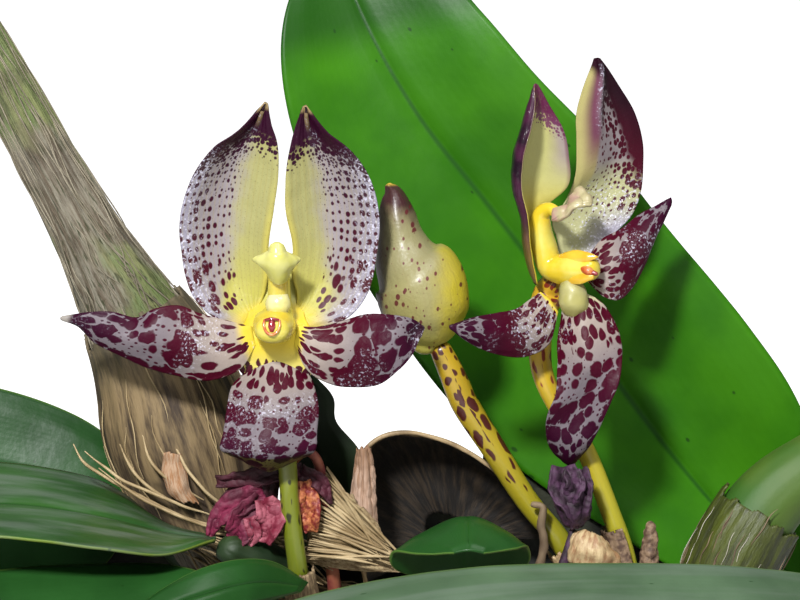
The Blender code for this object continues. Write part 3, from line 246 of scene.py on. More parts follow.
LEAVES = {
    "leaf_back": [
        [(59.2, 30.2, 15.6), (59.8, 31.4, 16.2), (60.6, 31.0, 16.8)],
        [(44.5, 27.5, 17.5), (51.4, 31.0, 22.0), (62.0, 27.5, 28.0)],
        [(30.8, 26.5, 25.0), (41.5, 31.0, 32.8), (57.2, 26.5, 43.3)],
        [(15.9, 26.5, 35.4), (31.9, 31.0, 45.4), (49.4, 26.0, 55.4)],
        [(4.3, 26.5, 47.6), (22.9, 31.0, 58.3), (38.5, 26.0, 68.3)],
        [(-5.7, 26.5, 62.6), (12.9, 31.0, 71.5), (28.6, 26.5, 80.9)],
        [(-13.6, 27.0, 78.3), (3.6, 31.0, 83.3), (19.5, 27.5, 90.4)],
        [(-16.7, 28.0, 91.2), (-3.1, 32.0, 94.2), (11.9, 29.5, 99.2)],
        [(-15.8, 31.0, 101.2), (-7.6, 34.5, 103.8), (4.4, 33.0, 106.4)],
        [(-10.8, 36.5, 109.2), (-9.6, 37.0, 109.8), (-8.0, 37.0, 110.2)],
    ],
    "leaf_left": [
        [(-61.9, 10.6, 102.6), (-61.6, 12.6, 103.0), (-61.4, 14.6, 103.4)],
        [(-69.0, 3.0, 110.0), (-67.4, 13.0, 112.6), (-66.6, 23.0, 114.0)],
        [(-82.0, -5.0, 121.5), (-80.6, 13.5, 125.0), (-79.4, 31.0, 126.0)],
        [(-100.0, -8.0, 128.0), (-100.0, 14.0, 131.6), (-99.0, 35.0, 131.5)],
        [(-118.0, -6.0, 127.0), (-120.0, 14.5, 129.8), (-118.0, 34.5, 129.5)],
        [(-134.0, 1.0, 117.5), (-137.0, 15.0, 119.5), (-134.5, 28.0, 119.0)],
        [(-146.5, 13.5, 104.0), (-147.5, 15.0, 103.4), (-146.5, 16.5, 104.0)],
    ],
    "leaf_right": [
        [(67.2, 9.4, 43.4), (67.2, 11.2, 43.0), (67.2, 13.0, 43.4)],
        [(77.0, 1.0, 49.5), (77.5, 11.6, 47.0), (77.0, 22.0, 49.5)],
        [(93.0, -6.0, 54.5), (94.0, 12.0, 51.5), (93.5, 30.0, 54.5)],
        [(112.0, -8.0, 54.5), (114.0, 12.5, 51.5), (112.5, 33.0, 54.5)],
        [(130.0, -4.0, 47.5), (132.5, 13.0, 45.0), (130.5, 30.0, 47.5)],
        [(144.0, 5.0, 36.0), (147.0, 13.5, 34.0), (144.5, 22.0, 36.0)],
        [(152.5, 12.5, 24.0), (153.2, 13.5, 23.4), (152.5, 14.5, 24.0)],
    ],
    "leaf_low_back": [
        [(-37.0, 29.6, 27.6), (-37.3, 31.2, 28.6), (-37.0, 32.8, 29.6)],
        [(-44.5, 25.0, 18.6), (-46.0, 30.0, 31.0), (-43.5, 33.0, 39.1)],
        [(-56.0, 22.0, 14.0), (-60.0, 29.5, 33.6), (-58.0, 33.0, 45.1)],
        [(-74.0, 20.0, 13.2), (-78.0, 28.0, 34.0), (-76.0, 32.0, 47.1)],
        [(-93.0, 20.0, 13.4), (-97.0, 27.0, 29.6), (-95.5, 31.0, 40.6)],
        [(-110.0, 23.5, 15.1), (-112.5, 27.0, 21.6), (-111.5, 29.5, 27.6)],
        [(-121.5, 26.0, 11.8), (-122.0, 26.6, 12.4), (-121.7, 27.4, 13.0)],
    ],
    "leaf_low_middle": [
        [(-25.2, 0.6, 29.0), (-25.4, 2.0, 28.4), (-25.2, 3.4, 28.8)],
        [(-31.5, -8.0, 28.6), (-31.0, 1.5, 29.4), (-32.5, 9.0, 29.4)],
        [(-40.0, -13.0, 30.4), (-41.0, 0.5, 32.2), (-42.0, 13.0, 34.6)],
        [(-55.0, -15.0, 32.6), (-57.0, 0.0, 34.2), (-58.0, 14.5, 37.4)],
        [(-75.0, -14.0, 33.0), (-77.0, 1.0, 34.0), (-77.0, 14.5, 36.6)],
        [(-95.0, -9.0, 29.0), (-97.0, 2.0, 29.6), (-96.0, 11.5, 31.4)],
        [(-112.5, 1.4, 20.6), (-113.2, 2.6, 20.4), (-112.5, 3.8, 20.8)],
    ],
    "leaf_low_front": [
        [(-21.4, -4.0, 18.6), (-21.8, -2.9, 19.4), (-21.4, -1.8, 20.4)],
        [(-28.0, -21.0, 15.0), (-29.0, -11.0, 19.6), (-28.0, -2.5, 25.4)],
        [(-42.0, -30.0, 10.0), (-44.0, -16.0, 17.6), (-42.0, -4.0, 26.4)],
        [(-58.0, -33.0, 6.0), (-60.0, -18.5, 15.4), (-58.0, -7.0, 25.6)],
        [(-76.0, -31.0, 3.0), (-78.0, -20.0, 11.0), (-77.0, -10.0, 20.0)],
        [(-91.0, -26.0, 1.6), (-92.5, -20.5, 6.0), (-92.0, -15.0, 11.0)],
        [(-102.0, -20.8, 0.8), (-102.5, -20.0, 1.2), (-102.4, -19.0, 2.0)],
    ],
    "leaf_small_left": [
        [(-13.4, -1.4, 22.2), (-13.0, -0.2, 22.6), (-12.6, 1.0, 23.0)],
        [(-21.0, -10.5, 21.8), (-19.5, -8.0, 24.6), (-18.0, -4.5, 27.0)],
        [(-27.5, -15.5, 20.6), (-26.0, -13.0, 24.0), (-24.8, -9.5, 27.4)],
        [(-33.5, -17.5, 20.0), (-33.0, -15.5, 22.0), (-32.0, -13.0, 24.4)],
        [(-38.5, -17.2, 18.6), (-38.6, -16.8, 18.9), (-38.4, -16.3, 19.3)],
    ],
    "leaf_small_back": [
        [(-13.6, 17.0, 21.3), (-12.6, 17.3, 21.3), (-11.6, 17.0, 21.3)],
        [(-15.5, 16.6, 27.0), (-11.0, 17.6, 27.0), (-6.2, 16.6, 27.0)],
        [(-16.0, 16.4, 33.0), (-11.0, 17.6, 33.0), (-5.6, 16.6, 33.0)],
        [(-16.0, 16.2, 38.0), (-11.5, 17.4, 38.0), (-5.5, 16.4, 38.4)],
        [(-15.8, 16.2, 43.0), (-12.4, 17.2, 43.0), (-8.9, 16.4, 42.8)],
        [(-15.2, 16.2, 46.5), (-12.8, 17.0, 46.6), (-9.4, 16.3, 46.2)],
        [(-13.9, 16.2, 49.4), (-13.0, 16.5, 49.8), (-12.0, 16.3, 49.3)],
    ],
    "leaf_middle": [
        [(7.0, 5.4, 21.6), (8.9, 5.6, 21.7), (10.8, 5.4, 21.6)],
        [(-0.6, 1.0, 25.0), (8.8, 4.0, 26.0), (17.0, 1.0, 25.0)],
        [(-1.2, -2.2, 28.2), (8.9, 1.4, 31.2), (17.2, -2.2, 28.2)],
        [(2.0, -6.0, 28.6), (9.2, -4.0, 32.0), (15.4, -6.0, 28.8)],
        [(7.2, -9.2, 29.0), (9.2, -9.6, 29.4), (11.2, -9.2, 29.0)],
    ],
    "leaf_front": [
        [(61.0, -6.6, 16.0), (61.8, -5.8, 16.6), (62.6, -5.0, 17.2)],
        [(52.0, -30.0, 16.4), (56.0, -22.0, 22.4), (59.0, -15.0, 25.8)],
        [(37.0, -46.0, 18.4), (41.0, -36.0, 26.0), (44.0, -28.0, 30.6)],
        [(16.0, -56.0, 18.4), (18.0, -44.0, 27.2), (20.0, -34.5, 32.6)],
        [(-6.0, -60.0, 14.4), (-5.0, -48.0, 24.4), (-4.0, -38.0, 30.8)],
        [(-26.0, -58.0, 9.0), (-27.0, -49.0, 17.0), (-26.5, -41.0, 24.0)],
        [(-42.0, -53.0, 3.4), (-43.5, -48.0, 9.6), (-43.0, -43.5, 14.4)],
        [(-53.0, -46.8, 0.8), (-53.6, -46.2, 1.2), (-53.8, -45.4, 1.8)],
    ],
}

HOOD_RIM = [(-4.8, 14.4, 19.8), (-5.6, 10.5, 26), (-5.8, 10, 33), (-5.0, 10, 39.6), (0, 10.5, 42.2),
            (7.4, 11.5, 40.4), (14.6, 12, 35.6), (19.4, 12.5, 31), (21.4, 13, 26.4)]
HOOD_CENTRE = Vector((7.6, 22.5, 23.0))
HOOD_DEPTHS = [(1.0, 0.0), (0.92, 0.4), (0.66, 0.8), (0.3, 0.98)]

SPENT_MAGENTA = [
    [(-19.5, 6.2, 38.0), (-17.6, 5.2, 38.6), (-15.6, 5.6, 38.2)],
    [(-23.4, 5.4, 35.4), (-20.0, 4.4, 35.0), (-16.6, 5.4, 35.6)],
    [(-25.0, 4.6, 33.2), (-21.0, 3.6, 32.8), (-16.8, 5.0, 32.4)],
    [(-25.2, 4.2, 31.6), (-21.4, 3.2, 31.0), (-17.4, 4.6, 30.6)],
    [(-24.0, 4.4, 30.4), (-22.0, 4.0, 30.0), (-19.4, 4.4, 29.8)],
]
SPENT_MAGENTA_STALK = [(-14.8, 6.2, 38.8), (-12.8, 6.2, 40.2), (-11.2, 6.0, 38.6), (-10.4, 7.0, 33.0),
                       (-9.6, 9.0, 25.0), (-9.0, 12.2, 18.8)]
SPENT_PURPLE = [
    [(21.6, 5.6, 37.4), (23.4, 4.8, 38.0), (25.2, 5.6, 37.4)],
    [(20.9, 4.8, 35.0), (23.4, 3.4, 35.0), (26.0, 4.8, 34.6)],
    [(21.6, 4.8, 32.2), (23.8, 3.4, 32.0), (26.2, 4.8, 31.8)],
    [(22.8, 5.8, 30.0), (23.8, 5.4, 29.8), (24.9, 5.8, 30.0)],
]
SPENT_PURPLE_STALK = [(23.8, 5.7, 29.3), (23.0, 5.0, 26.6), (21.8, 5.4, 22.6), (20.6, 8.4, 16.2)]
DRY_HOOK = [(18.2, 4.6, 33.2), (19.6, 4.2, 32.8), (19.4, 4.4, 30.2), (19.8, 5.0, 27.2), (18.6, 6.6, 22.0),
            (17.4, 10.4, 16.2)]

# Each root leaves the mat at an angle in degrees and then goes through these steps, right and away.
ROOTS = [
    (180, [(-12, 3), (-22, -2), (-34, 1)]),
    (212, [(-10, -6), (-16, -18), (-27, -23)]),
    (240, [(-3, -10), (4, -20), (0, -31)]),
    (275, [(4, -10), (-2, -21), (5, -34)]),
    (312, [(9, -8), (22, -8), (31, -18)]),
    (345, [(12, 0), (22, 7), (36, 5)]),
    (38, [(12, 8), (16, 19), (29, 25)]),
    (85, [(-2, 10), (5, 20), (1, 32)]),
    (132, [(-9, 9), (-8, 19), (-19, 26)]),
]
ROOT_RADII = [1.0, 1.0, 0.9, 0.6]


# Curves and surfaces


def spline(points, t):
    """A smooth curve through the points, at t from 0 to 1."""
    last = len(points) - 1
    place = min(max(t, 0.0), 1.0) * last
    index = min(int(place), last - 1)
    f = place - index
    p1 = points[index]
    p2 = points[index + 1]
    p0 = points[index - 1] if index > 0 else 2 * p1 - p2
    p3 = points[index + 2] if index + 2 <= last else 2 * p2 - p1
    return 0.5 * (2 * p1 + (p2 - p0) * f + (2 * p0 - 5 * p1 + 4 * p2 - p3) * f * f
                  + (3 * p1 - p0 - 3 * p2 + p3) * f * f * f)


def surface(rows, u, t):
    """The point at u across and t along a surface through rows of points."""
    across = [spline([row[column] for row in rows], t) for column in range(len(rows[0]))]
    return spline(across, u)


def moved(rows, place=(0, 0, 0)):
    """Rows of plain tuples as vectors, moved to their place."""
    shift = Vector(place)
    return [[Vector(point) + shift for point in row] for row in rows]


def ease(x, low, high):
    """0 at low and 1 at high, smooth between."""
    f = min(max((x - low) / (high - low), 0.0), 1.0)
    return f * f * (3 - 2 * f)


def bell(x, middle, width):
    return math.exp(-(((x - middle) / width) ** 2))


def rough(point, size, seed=0.0):
    """Smooth noise from -1 to 1 with bumps of the given size."""
    return noise.noise(Vector(point) / size + Vector((seed, 1.7 * seed, -seed)))


def lumpy(*parts):
    """A relief of soft lumps, each part an amount, a size and a seed."""

    def height(u, t, point):
        return sum(amount * rough(point, size, seed) for amount, size, seed in parts)

    return height


# Building pieces


def place(item, material, slot, node=None):
    """Puts a piece in the scene, on the plant's one body."""
    bpy.context.scene.collection.objects.link(item)
    item.data.materials.append(material)
    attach(item, BODY)
    if node:
        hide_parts(node)
    return item


def grid_mesh(name, across, along, shape, height=None, keep=None, front=TO_VIEWER):
    """A mesh grid bent by shape(u, t), with relief along its normal and u and t as its UV map."""
    grid = bmesh.new()
    bmesh.ops.create_grid(grid, x_segments=across, y_segments=along, size=1.0)
    layer = grid.loops.layers.uv.new("UVMap")
    weights = grid.verts.layers.deform.verify()
    places = [((vert.co.x + 1) / 2, (vert.co.y + 1) / 2) for vert in grid.verts]
    for face in grid.faces:
        for loop in face.loops:
            loop[layer].uv = places[loop.vert.index]
    for vert, (u, t) in zip(grid.verts, places):
        vert.co = shape(u, t) * MM
        vert[weights][0] = ease(min(u, 1 - u, 3 * t, 3 * (1 - t)), 0.0, MARGIN_SHARE)
    grid.normal_update()
    if sum((vert.normal for vert in grid.verts), Vector()).dot(Vector(front)) < 0:
        bmesh.ops.reverse_faces(grid, faces=grid.faces)
        grid.normal_update()
    if height:
        raised = [vert.co + vert.normal * height(u, t, vert.co / MM) * MM
                  for vert, (u, t) in zip(grid.verts, places)]
        for vert, co in zip(grid.verts, raised):
            vert.co = co
    if keep:
        torn = [vert for vert, (u, t) in zip(grid.verts, places) if not keep(u, t)]
        bmesh.ops.delete(grid, geom=torn, context="VERTS")
    mesh = bpy.data.meshes.new(name)
    grid.to_mesh(mesh)
    grid.free()
    mesh.shade_smooth()
    return mesh


def blade(name, rows, thickness, material, slot, node, across, along, height, keep=None, edge=0.35, back=None,
          front=TO_VIEWER):
    """A thin curved blade whose margins are thinner than its middle. Its painted face looks to the front."""
    mesh = grid_mesh(name, across, along, lambda u, t: surface(rows, u, t), height, keep, front=front)
    item = bpy.data.objects.new(name, mesh)
    item.vertex_groups.new(name="body")
    place(item, material, slot, node)
    solid = item.modifiers.new("thickness", "SOLIDIFY")
    solid.thickness = thickness * MM
    solid.offset = 0.0
    solid.vertex_group = "body"
    solid.thickness_vertex_group = edge
    if back:
        item.data.materials.append(back)
        solid.material_offset = 1
    return item


def stem(name, path, radii, material, slot, node=None, steps=60, sides=24, detail=None):
    """A round stem with domed ends. detail(u, t, point) adds to its radius."""
    points = [Vector(point) for point in path]
    widths = [Vector((radius, 0, 0)) for radius in radii]
    rings = []
    side = None
    for index in range(steps + 1):
        t = index / steps
        main = min(max((t - CAP_SHARE) / (1 - 2 * CAP_SHARE), 0.0), 1.0)
        direction = (spline(points, min(main + 0.01, 1)) - spline(points, max(main - 0.01, 0))).normalized()
        if side is None:
            side = direction.cross(Vector((0.1, -1, 0.15))).normalized()
        side = (side - direction * side.dot(direction)).normalized()
        reach = spline(widths, main).x
        bend = max(CAP_SHARE - t, t - 1 + CAP_SHARE, 0.0) / CAP_SHARE * math.pi / 2
        ahead = math.copysign(reach * CAP_DEPTH * math.sin(bend), t - 0.5)
        rings.append((spline(points, main) + direction * ahead, side, side.cross(direction), reach,
                      math.cos(bend), main))

    def shape(u, t):
        centre, right, front, reach, shrink, main = rings[round(t * steps)]
        outward = math.cos(2 * math.pi * u) * front + math.sin(2 * math.pi * u) * right
        if detail:
            reach += detail(u, main, centre + outward * reach)
        return centre + outward * reach * shrink

    mesh = grid_mesh(name, sides, steps, shape)
    shell = bmesh.new()
    shell.from_mesh(mesh)
    bmesh.ops.remove_doubles(shell, verts=shell.verts, dist=MERGE_DISTANCE * MM)
    bmesh.ops.recalc_face_normals(shell, faces=shell.faces)
    shell.to_mesh(mesh)
    shell.free()
    return place(bpy.data.objects.new(name, mesh), material, slot, node)


def fibres(name, lines, material, slot, radius, taper=0.35):
    """Many thin fibres as one curve object."""
    curve = bpy.data.curves.new(name, "CURVE")
    curve.dimensions = "3D"
    curve.bevel_depth = radius * MM
    curve.bevel_resolution = 1
    curve.use_fill_caps = True
    for line in lines:
        thread = curve.splines.new("POLY")
        thread.points.add(len(line) - 1)
        for index, point in enumerate(line):
            thread.points[index].co = (*(point * MM), 1.0)
            end = min(index, len(line) - 1 - index) / (len(line) - 1)
            thread.points[index].radius = taper + (1 - taper) * ease(end, 0.0, 0.3)
    return place(bpy.data.objects.new(name, curve), material, slot)


def strand(points, steps, wobble, seed):
    """Points of one fibre along a smooth path."""
    path = [Vector(point) for point in points]
    line = []
    for index in range(steps + 1):
        point = spline(path, index / steps)
        shake = Vector((rough(point, 4.0, seed), rough(point, 4.0, seed + 5), rough(point, 4.0, seed + 9)))
        line.append(point + shake * wobble)
    return line


# Materials


class Wire:
    """The output of a node. Wires and numbers can be added, subtracted and multiplied."""

    def __init__(self, paint, socket):
        self.paint = paint
        self.socket = socket

    def __add__(self, other):
        return self.paint.math("ADD", self, other)

    def __radd__(self, other):
        return self.paint.math("ADD", other, self)

    def __sub__(self, other):
        return self.paint.math("SUBTRACT", self, other)

    def __rsub__(self, other):
        return self.paint.math("SUBTRACT", other, self)

    def __mul__(self, other):
        return self.paint.math("MULTIPLY", self, other)

    def __rmul__(self, other):
        return self.paint.math("MULTIPLY", other, self)


class Paint:
    """A node material written in small steps."""

    def __init__(self, name, uv=True):
        self.material = bpy.data.materials.new(name)
        self.material.use_nodes = True
        self.tree = self.material.node_tree
        self.shader = self.tree.nodes["Principled BSDF"]
        self.place = self.wire(self.node("ShaderNodeTexCoord"), "Object")
        if uv:
            self.u, self.t, _ = self.split(self.wire(self.node("ShaderNodeUVMap", uv_map="UVMap"), "UV"))

    def node(self, kind, **settings):
        node = self.tree.nodes.new(kind)
        for key, value in settings.items():
            setattr(node, key, value)
        return node

    def wire(self, node, output=0):
        return Wire(self, node.outputs[output])

    def split(self, vector):
        node = self.node("ShaderNodeSeparateXYZ")
        self.feed(node.inputs[0], vector)
        return self.wire(node, "X"), self.wire(node, "Y"), self.wire(node, "Z")

    def feed(self, socket, value):
        if isinstance(value, Wire):
            self.tree.links.new(value.socket, socket)
        elif isinstance(value, tuple):
            socket.default_value = (*value, 1.0)
        else:
            socket.default_value = value

    def math(self, operation, a, b=0.0):
        node = self.node("ShaderNodeMath", operation=operation)
        self.feed(node.inputs[0], a)
        self.feed(node.inputs[1], b)
        return self.wire(node)

    def most(self, *values):
        result = values[0]
        for value in values[1:]:
            result = self.math("MAXIMUM", result, value)
        return result

    def ease(self, x, low, high):
        """0 at low and 1 at high, smooth between."""
        node = self.node("ShaderNodeMapRange", interpolation_type="SMOOTHSTEP")
        self.feed(node.inputs[0], x)
        self.feed(node.inputs[1], low)
        self.feed(node.inputs[2], high)
        return self.wire(node)

    def peak(self, x, middle, width):
        """1 in the middle, 0 at the given distance from it."""
        return self.ease(self.math("ABSOLUTE", x - middle), width, 0.0)

    def mix(self, factor, a, b):
        node = self.node("ShaderNodeMix", data_type="RGBA")
        self.feed(node.inputs[0], factor)
        self.feed(node.inputs[6], a)
        self.feed(node.inputs[7], b)
        return self.wire(node, 2)

    def vector(self, x, y, z=0.0):
        node = self.node("ShaderNodeCombineXYZ")
        self.feed(node.inputs[0], x)
        self.feed(node.inputs[1], y)
        self.feed(node.inputs[2], z)
        return self.wire(node)

    def noise(self, scale, detail=2.0, vector=None, rough=0.5):
        node = self.node("ShaderNodeTexNoise")
        self.feed(node.inputs["Vector"], vector or self.place)
        node.inputs["Scale"].default_value = scale
        node.inputs["Detail"].default_value = detail
        node.inputs["Roughness"].default_value = rough
        return self.wire(node, "Fac")

    def spots(self, x, y, size, seed, jitter=0.9, soft=0.05, vary=0.9):
        """Spots of the given radius, in cells, over the plane of x and y. Their sizes vary."""
        node = self.node("ShaderNodeTexVoronoi", voronoi_dimensions="2D", feature="F1")
        self.feed(node.inputs["Vector"], self.vector(x + 7.31 * seed, y + 3.77 * seed))
        node.inputs["Scale"].default_value = 1.0
        node.inputs["Randomness"].default_value = jitter
        part, _, _ = self.split(self.wire(node, "Color"))
        reach = size * (part * vary + (1 - vary / 2))
        return self.ease(reach - self.wire(node, "Distance"), -soft, soft)

    def bump(self, height, strength, distance):
        bump = self.node("ShaderNodeBump")
        bump.inputs["Strength"].default_value = strength
        bump.inputs["Distance"].default_value = distance
        self.feed(bump.inputs["Height"], height)
        return self.wire(bump)

    def finish(self, colour, roughness, height=None, strength=0.3, distance=0.0002, coat=0.0, specular=0.5,
               coat_roughness=0.15, sparkle=0.0):
        deeper = self.node("ShaderNodeMix", data_type="RGBA", blend_type="MULTIPLY")
        deeper.inputs[0].default_value = 1.0
        self.feed(deeper.inputs[6], colour)
        deeper.inputs[7].default_value = (DEPTH, DEPTH, DEPTH, 1.0)
        self.feed(self.shader.inputs["Base Color"], self.wire(deeper, 2))
        self.feed(self.shader.inputs["Roughness"], roughness)
        self.feed(self.shader.inputs["Coat Weight"], coat)
        self.shader.inputs["Specular IOR Level"].default_value = specular
        self.shader.inputs["Coat Roughness"].default_value = coat_roughness
        if height is not None:
            self.feed(self.shader.inputs["Normal"], self.bump(height, strength, distance))
        if sparkle:
            self.feed(self.shader.inputs["Coat Normal"], self.bump(self.glitter(), 1.0, sparkle))
        return self.material

    def painted_glints(self, colour, amount):
        """Painted highlights: bluish white glints of light painted on the blistered cells."""
        speck = self.ease(self.noise(2600.0, 1.0), 0.57, 0.68)
        return self.mix(speck * amount * 0.72, colour, (0.8, 0.78, 0.95))

    def glitter(self):
        """Fine blistered cells that sparkle."""
        return self.noise(2500.0, 1.0) * 0.7 + self.noise(1200.0, 1.0) * 0.5


# Colours are as they look in strong light, and this share of them is the surface's own.
DEPTH = 0.62

MAROON = (0.070, 0.001, 0.012)
DARK_MAROON = (0.034, 0.002, 0.018)
LILAC_WHITE = (0.35, 0.305, 0.325)
PETAL_GROUND = (0.21, 0.175, 0.195)
CREAM = (0.43, 0.41, 0.165)
YELLOW = (0.86, 0.66, 0.06)
TAN = (0.36, 0.26, 0.12)


def sepal_paint(name, outer_high, seed):
    """Lateral sepal from the front: cream inside, lilac outside with rows of dots, maroon tip."""
    paint = Paint(name)
    t = paint.t
    outer = paint.u if outer_high else 1.0 - paint.u
    wander = paint.noise(420.0) - 0.5
    ground = paint.mix(paint.ease(t, 0.50, 0.10), CREAM, (0.52, 0.48, 0.09))
    lower = paint.ease(t, 0.42, 0.1) * 0.34
    border = outer + wander * 0.22 - lower
    ground = paint.mix(paint.ease(border, 0.22, 0.56), ground, LILAC_WHITE)
    # Painted sheen: a bluish tint towards the outer margin.
    ground = paint.mix(paint.ease(outer, 0.74, 0.98) * 0.7, ground, (0.36, 0.34, 0.45))
    ground = paint.mix(paint.ease(t, 0.12, 0.02) * 0.8, ground, YELLOW)
    rim = paint.ease(outer, 0.1, 0.02) * paint.ease(t, 0.7, 0.35)
    ground = paint.mix(rim * 0.6, ground, (0.7, 0.58, 0.08))
    veins = paint.math("SINE", (outer + wander * 0.012) * 118.0)
    ground = paint.mix(paint.ease(veins, 0.3, 1.0) * 0.24, ground, (0.4, 0.32, 0.1))
    # Rows of small dots, closer and smaller towards the inside.
    jog = wander * 0.35
    size = paint.ease(outer, 0.36, 0.5) * (0.18 + paint.ease(outer, 0.4, 0.95) * 0.1)
    dots = paint.spots(outer * 13.0 + jog, t * 33.0, size, seed, jitter=0.45, soft=0.07)
    fine = paint.spots(outer * 19.0, t * 46.0 + jog, paint.ease(outer, 0.3, 0.5) * paint.ease(t, 0.45, 0.65)
                       * 0.18, seed + 3, soft=0.09)
    dots = dots * paint.ease(t, 0.22, 0.3)
    # Larger ones, drawn out along the sepal, near its foot.
    low = paint.ease(t, 0.4, 0.28) * paint.ease(outer, 0.34, 0.55) * paint.ease(t, 0.06, 0.12)
    blots = paint.spots(outer * 8.5 + jog, t * 15.0, low * 0.34, seed + 6, jitter=0.75, soft=0.06)
    # The solid tip reaches down both margins, further down the outer one.
    reach = t - 0.8 + paint.math("POWER", outer, 2.0) * 0.125
    reach = reach + paint.peak(outer, 0.0, 0.35) * 0.05
    reach = reach + wander * 0.1
    crowd = paint.spots(outer * 16.0, t * 42.0, paint.ease(reach, -0.12, 0.02) * 0.6, seed + 9, soft=0.12)
    tip = paint.ease(reach, -0.020, 0.050)
    dark = paint.most(dots, fine, blots, crowd, tip)
    colour = paint.mix(dark, ground, paint.mix(paint.ease(t, 0.2, 0.7), MAROON, DARK_MAROON))
    # The tan along the keel near the tip is a painted highlight on the ridge; the tan at the very tip is its
    # own colour.
    keel = paint.peak(outer, 0.4, 0.09) * paint.ease(t, 0.84, 0.93)
    colour = paint.mix(paint.most(keel * 0.7, paint.ease(t, 0.955, 0.985)), colour, TAN)
    # Painted glints: where the bluish white specks go, along the outer margin, near the tip and on the keel.
    # The same mask sets the coat.
    band = paint.ease(outer, 0.66, 0.97) * paint.ease(t, 0.06, 0.16) * paint.ease(t, 0.8, 0.66)
    gloss = paint.peak(outer, 0.56, 0.13) * paint.peak(t, 0.83, 0.06) * 0.7
    shine = paint.most(band, gloss, paint.peak(outer, 0.42, 0.1) * paint.ease(t, 0.74, 0.8) * 0.35)
    return paint.finish(paint.painted_glints(colour, shine), 0.42, paint.noise(1800.0), 0.25, 0.0002,
                        coat=0.03 + shine * 0.9, specular=0.12, coat_roughness=0.26, sparkle=0.0005)


def petal_paint(name, seed, across=4.0, along=9.5, size=0.37, foot=0.16, ground=PETAL_GROUND,
                tip=0.985, foot_colour=YELLOW, beads=True, under=0.0, pale_end=0.0):
    """Petal or dorsal sepal: large maroon blotches on lilac white, radial ones at the yellow foot."""
    paint = Paint(name)
    t = paint.t
    wander = paint.noise(520.0) - 0.5
    drift = paint.noise(480.0, 2.0, paint.vector(*reversed(paint.split(paint.place)[:2]), 3.0)) - 0.5
    base = paint.mix(paint.ease(t, foot * 1.2, foot * 0.45), paint.mix(
        paint.ease(t, foot, 0.5), (0.42, 0.34, 0.29), ground), foot_colour)
    # Blotches at the foot are narrow and long, those further out are broad.
    near = paint.ease(t, 0.34, 0.26)
    x = paint.u * across + wander * 0.8
    y = t * along + drift * 0.6
    crowd = paint.ease(paint.noise(150.0, 1.0), 0.40, 0.62)
    reach = size * (0.75 + crowd * 0.62)
    broad = paint.spots(x, y, (1.0 - near) * reach, seed, jitter=0.85)
    narrow = paint.spots(paint.u * (across * 1.7) + wander * 0.5, t * (along * 1.1) + drift * 0.8,
                         near * paint.ease(t, foot * 0.2, foot * 0.7) * 0.42, seed + 2, jitter=0.75)
    small = paint.spots(paint.u * (across * 2.6), t * (along * 2.4), paint.ease(t, 0.3, 0.4) * 0.16, seed + 4)
    marks = paint.most(broad, narrow, small)
    if beads:
        edge = paint.math("ABSOLUTE", paint.u * 2.0 - 1.0)
        band = paint.ease(edge, 0.76, 0.86) * paint.ease(t, 0.15, 0.25) * 0.42
        marks = paint.most(marks, paint.spots(edge * 4.0, t * (along * 1.6), band, seed + 5, jitter=0.35))
    marks = paint.most(marks, paint.ease(t + wander * 0.08, tip - 0.03, tip))
    colour = paint.mix(marks, base, paint.mix(paint.ease(t, 0.2, 0.9), MAROON, DARK_MAROON))
    if under:
        # Past its fold the tip is painted darker and olive, spots and all: painted shade where it turns down
        # and back.
        fold = paint.ease(t, under, under + 0.012)
        olive = paint.mix(marks, (0.115, 0.095, 0.030), (0.022, 0.006, 0.008))
        colour = paint.mix(fold, colour, olive)
    if pale_end:
        colour = paint.mix(paint.ease(t, pale_end, pale_end + 0.04), colour, (0.40, 0.36, 0.32))
    # Painted glints in soft patches; the same mask sets the coat.
    shine = paint.ease(paint.noise(150.0, 2.0), 0.53, 0.67)
    if under:
        shine = paint.most(shine * 0.5, paint.peak(t, 0.4, 0.13) * 0.9) * (1.0 - fold)
    return paint.finish(paint.painted_glints(colour, shine * 0.7), 0.42, paint.noise(1800.0), 0.25, 0.0002,
                        coat=0.02 + shine * 0.5, specular=0.08, coat_roughness=0.26, sparkle=0.0005)


def near_sepal_paint(name):
    """Inner face of the sepal that turns its side to the viewer."""
    paint = Paint(name)
    u, t = paint.u, paint.t
    wander = paint.noise(300.0) - 0.5
    colour = paint.mix(paint.ease(t, 0.50, 0.20), (0.50, 0.48, 0.18), (0.60, 0.48, 0.04))
    lilac = paint.ease(u + wander * 0.1, 0.78, 0.97) * paint.ease(t, 0.4, 0.6)
    colour = paint.mix(lilac * 0.8, colour, (0.34, 0.26, 0.3))
    top = t - 0.78 + (u - 0.6) * 0.28
    dots = paint.spots(u * 26.0, t * 44.0, paint.ease(top, -0.05, 0.05) * 0.6, 2, soft=0.1)
    colour = paint.mix(dots * 0.9, colour, (0.16, 0.02, 0.1))
    colour = paint.mix(paint.ease(top, 0.04, 0.12) * 0.85, colour, (0.13, 0.01, 0.06))
    rim = paint.ease(paint.math("ABSOLUTE", u - 0.5), 0.46, 0.49) * paint.ease(t, 0.3, 0.6)
    colour = paint.mix(rim * 0.6, colour, (0.12, 0.01, 0.05))
    return paint.finish(colour, 0.42, paint.noise(1400.0), 0.2, 0.0002, coat=0.08, specular=0.15)


def sepal_back_paint(name):
    """Back of a lateral sepal: dark purple, yellowish at the foot."""
    paint = Paint(name)
    tone = paint.noise(260.0, 3.0)
    colour = paint.mix(paint.ease(tone, 0.4, 0.62), (0.012, 0.002, 0.010), (0.06, 0.010, 0.036))
    colour = paint.mix(paint.ease(paint.t, 0.3, 0.1) * 0.5, colour, (0.4, 0.26, 0.05))
    return paint.finish(colour, 0.40, paint.noise(1800.0), 0.2, 0.0002, coat=0.35, specular=0.15,
                        coat_roughness=0.12, sparkle=0.0002)


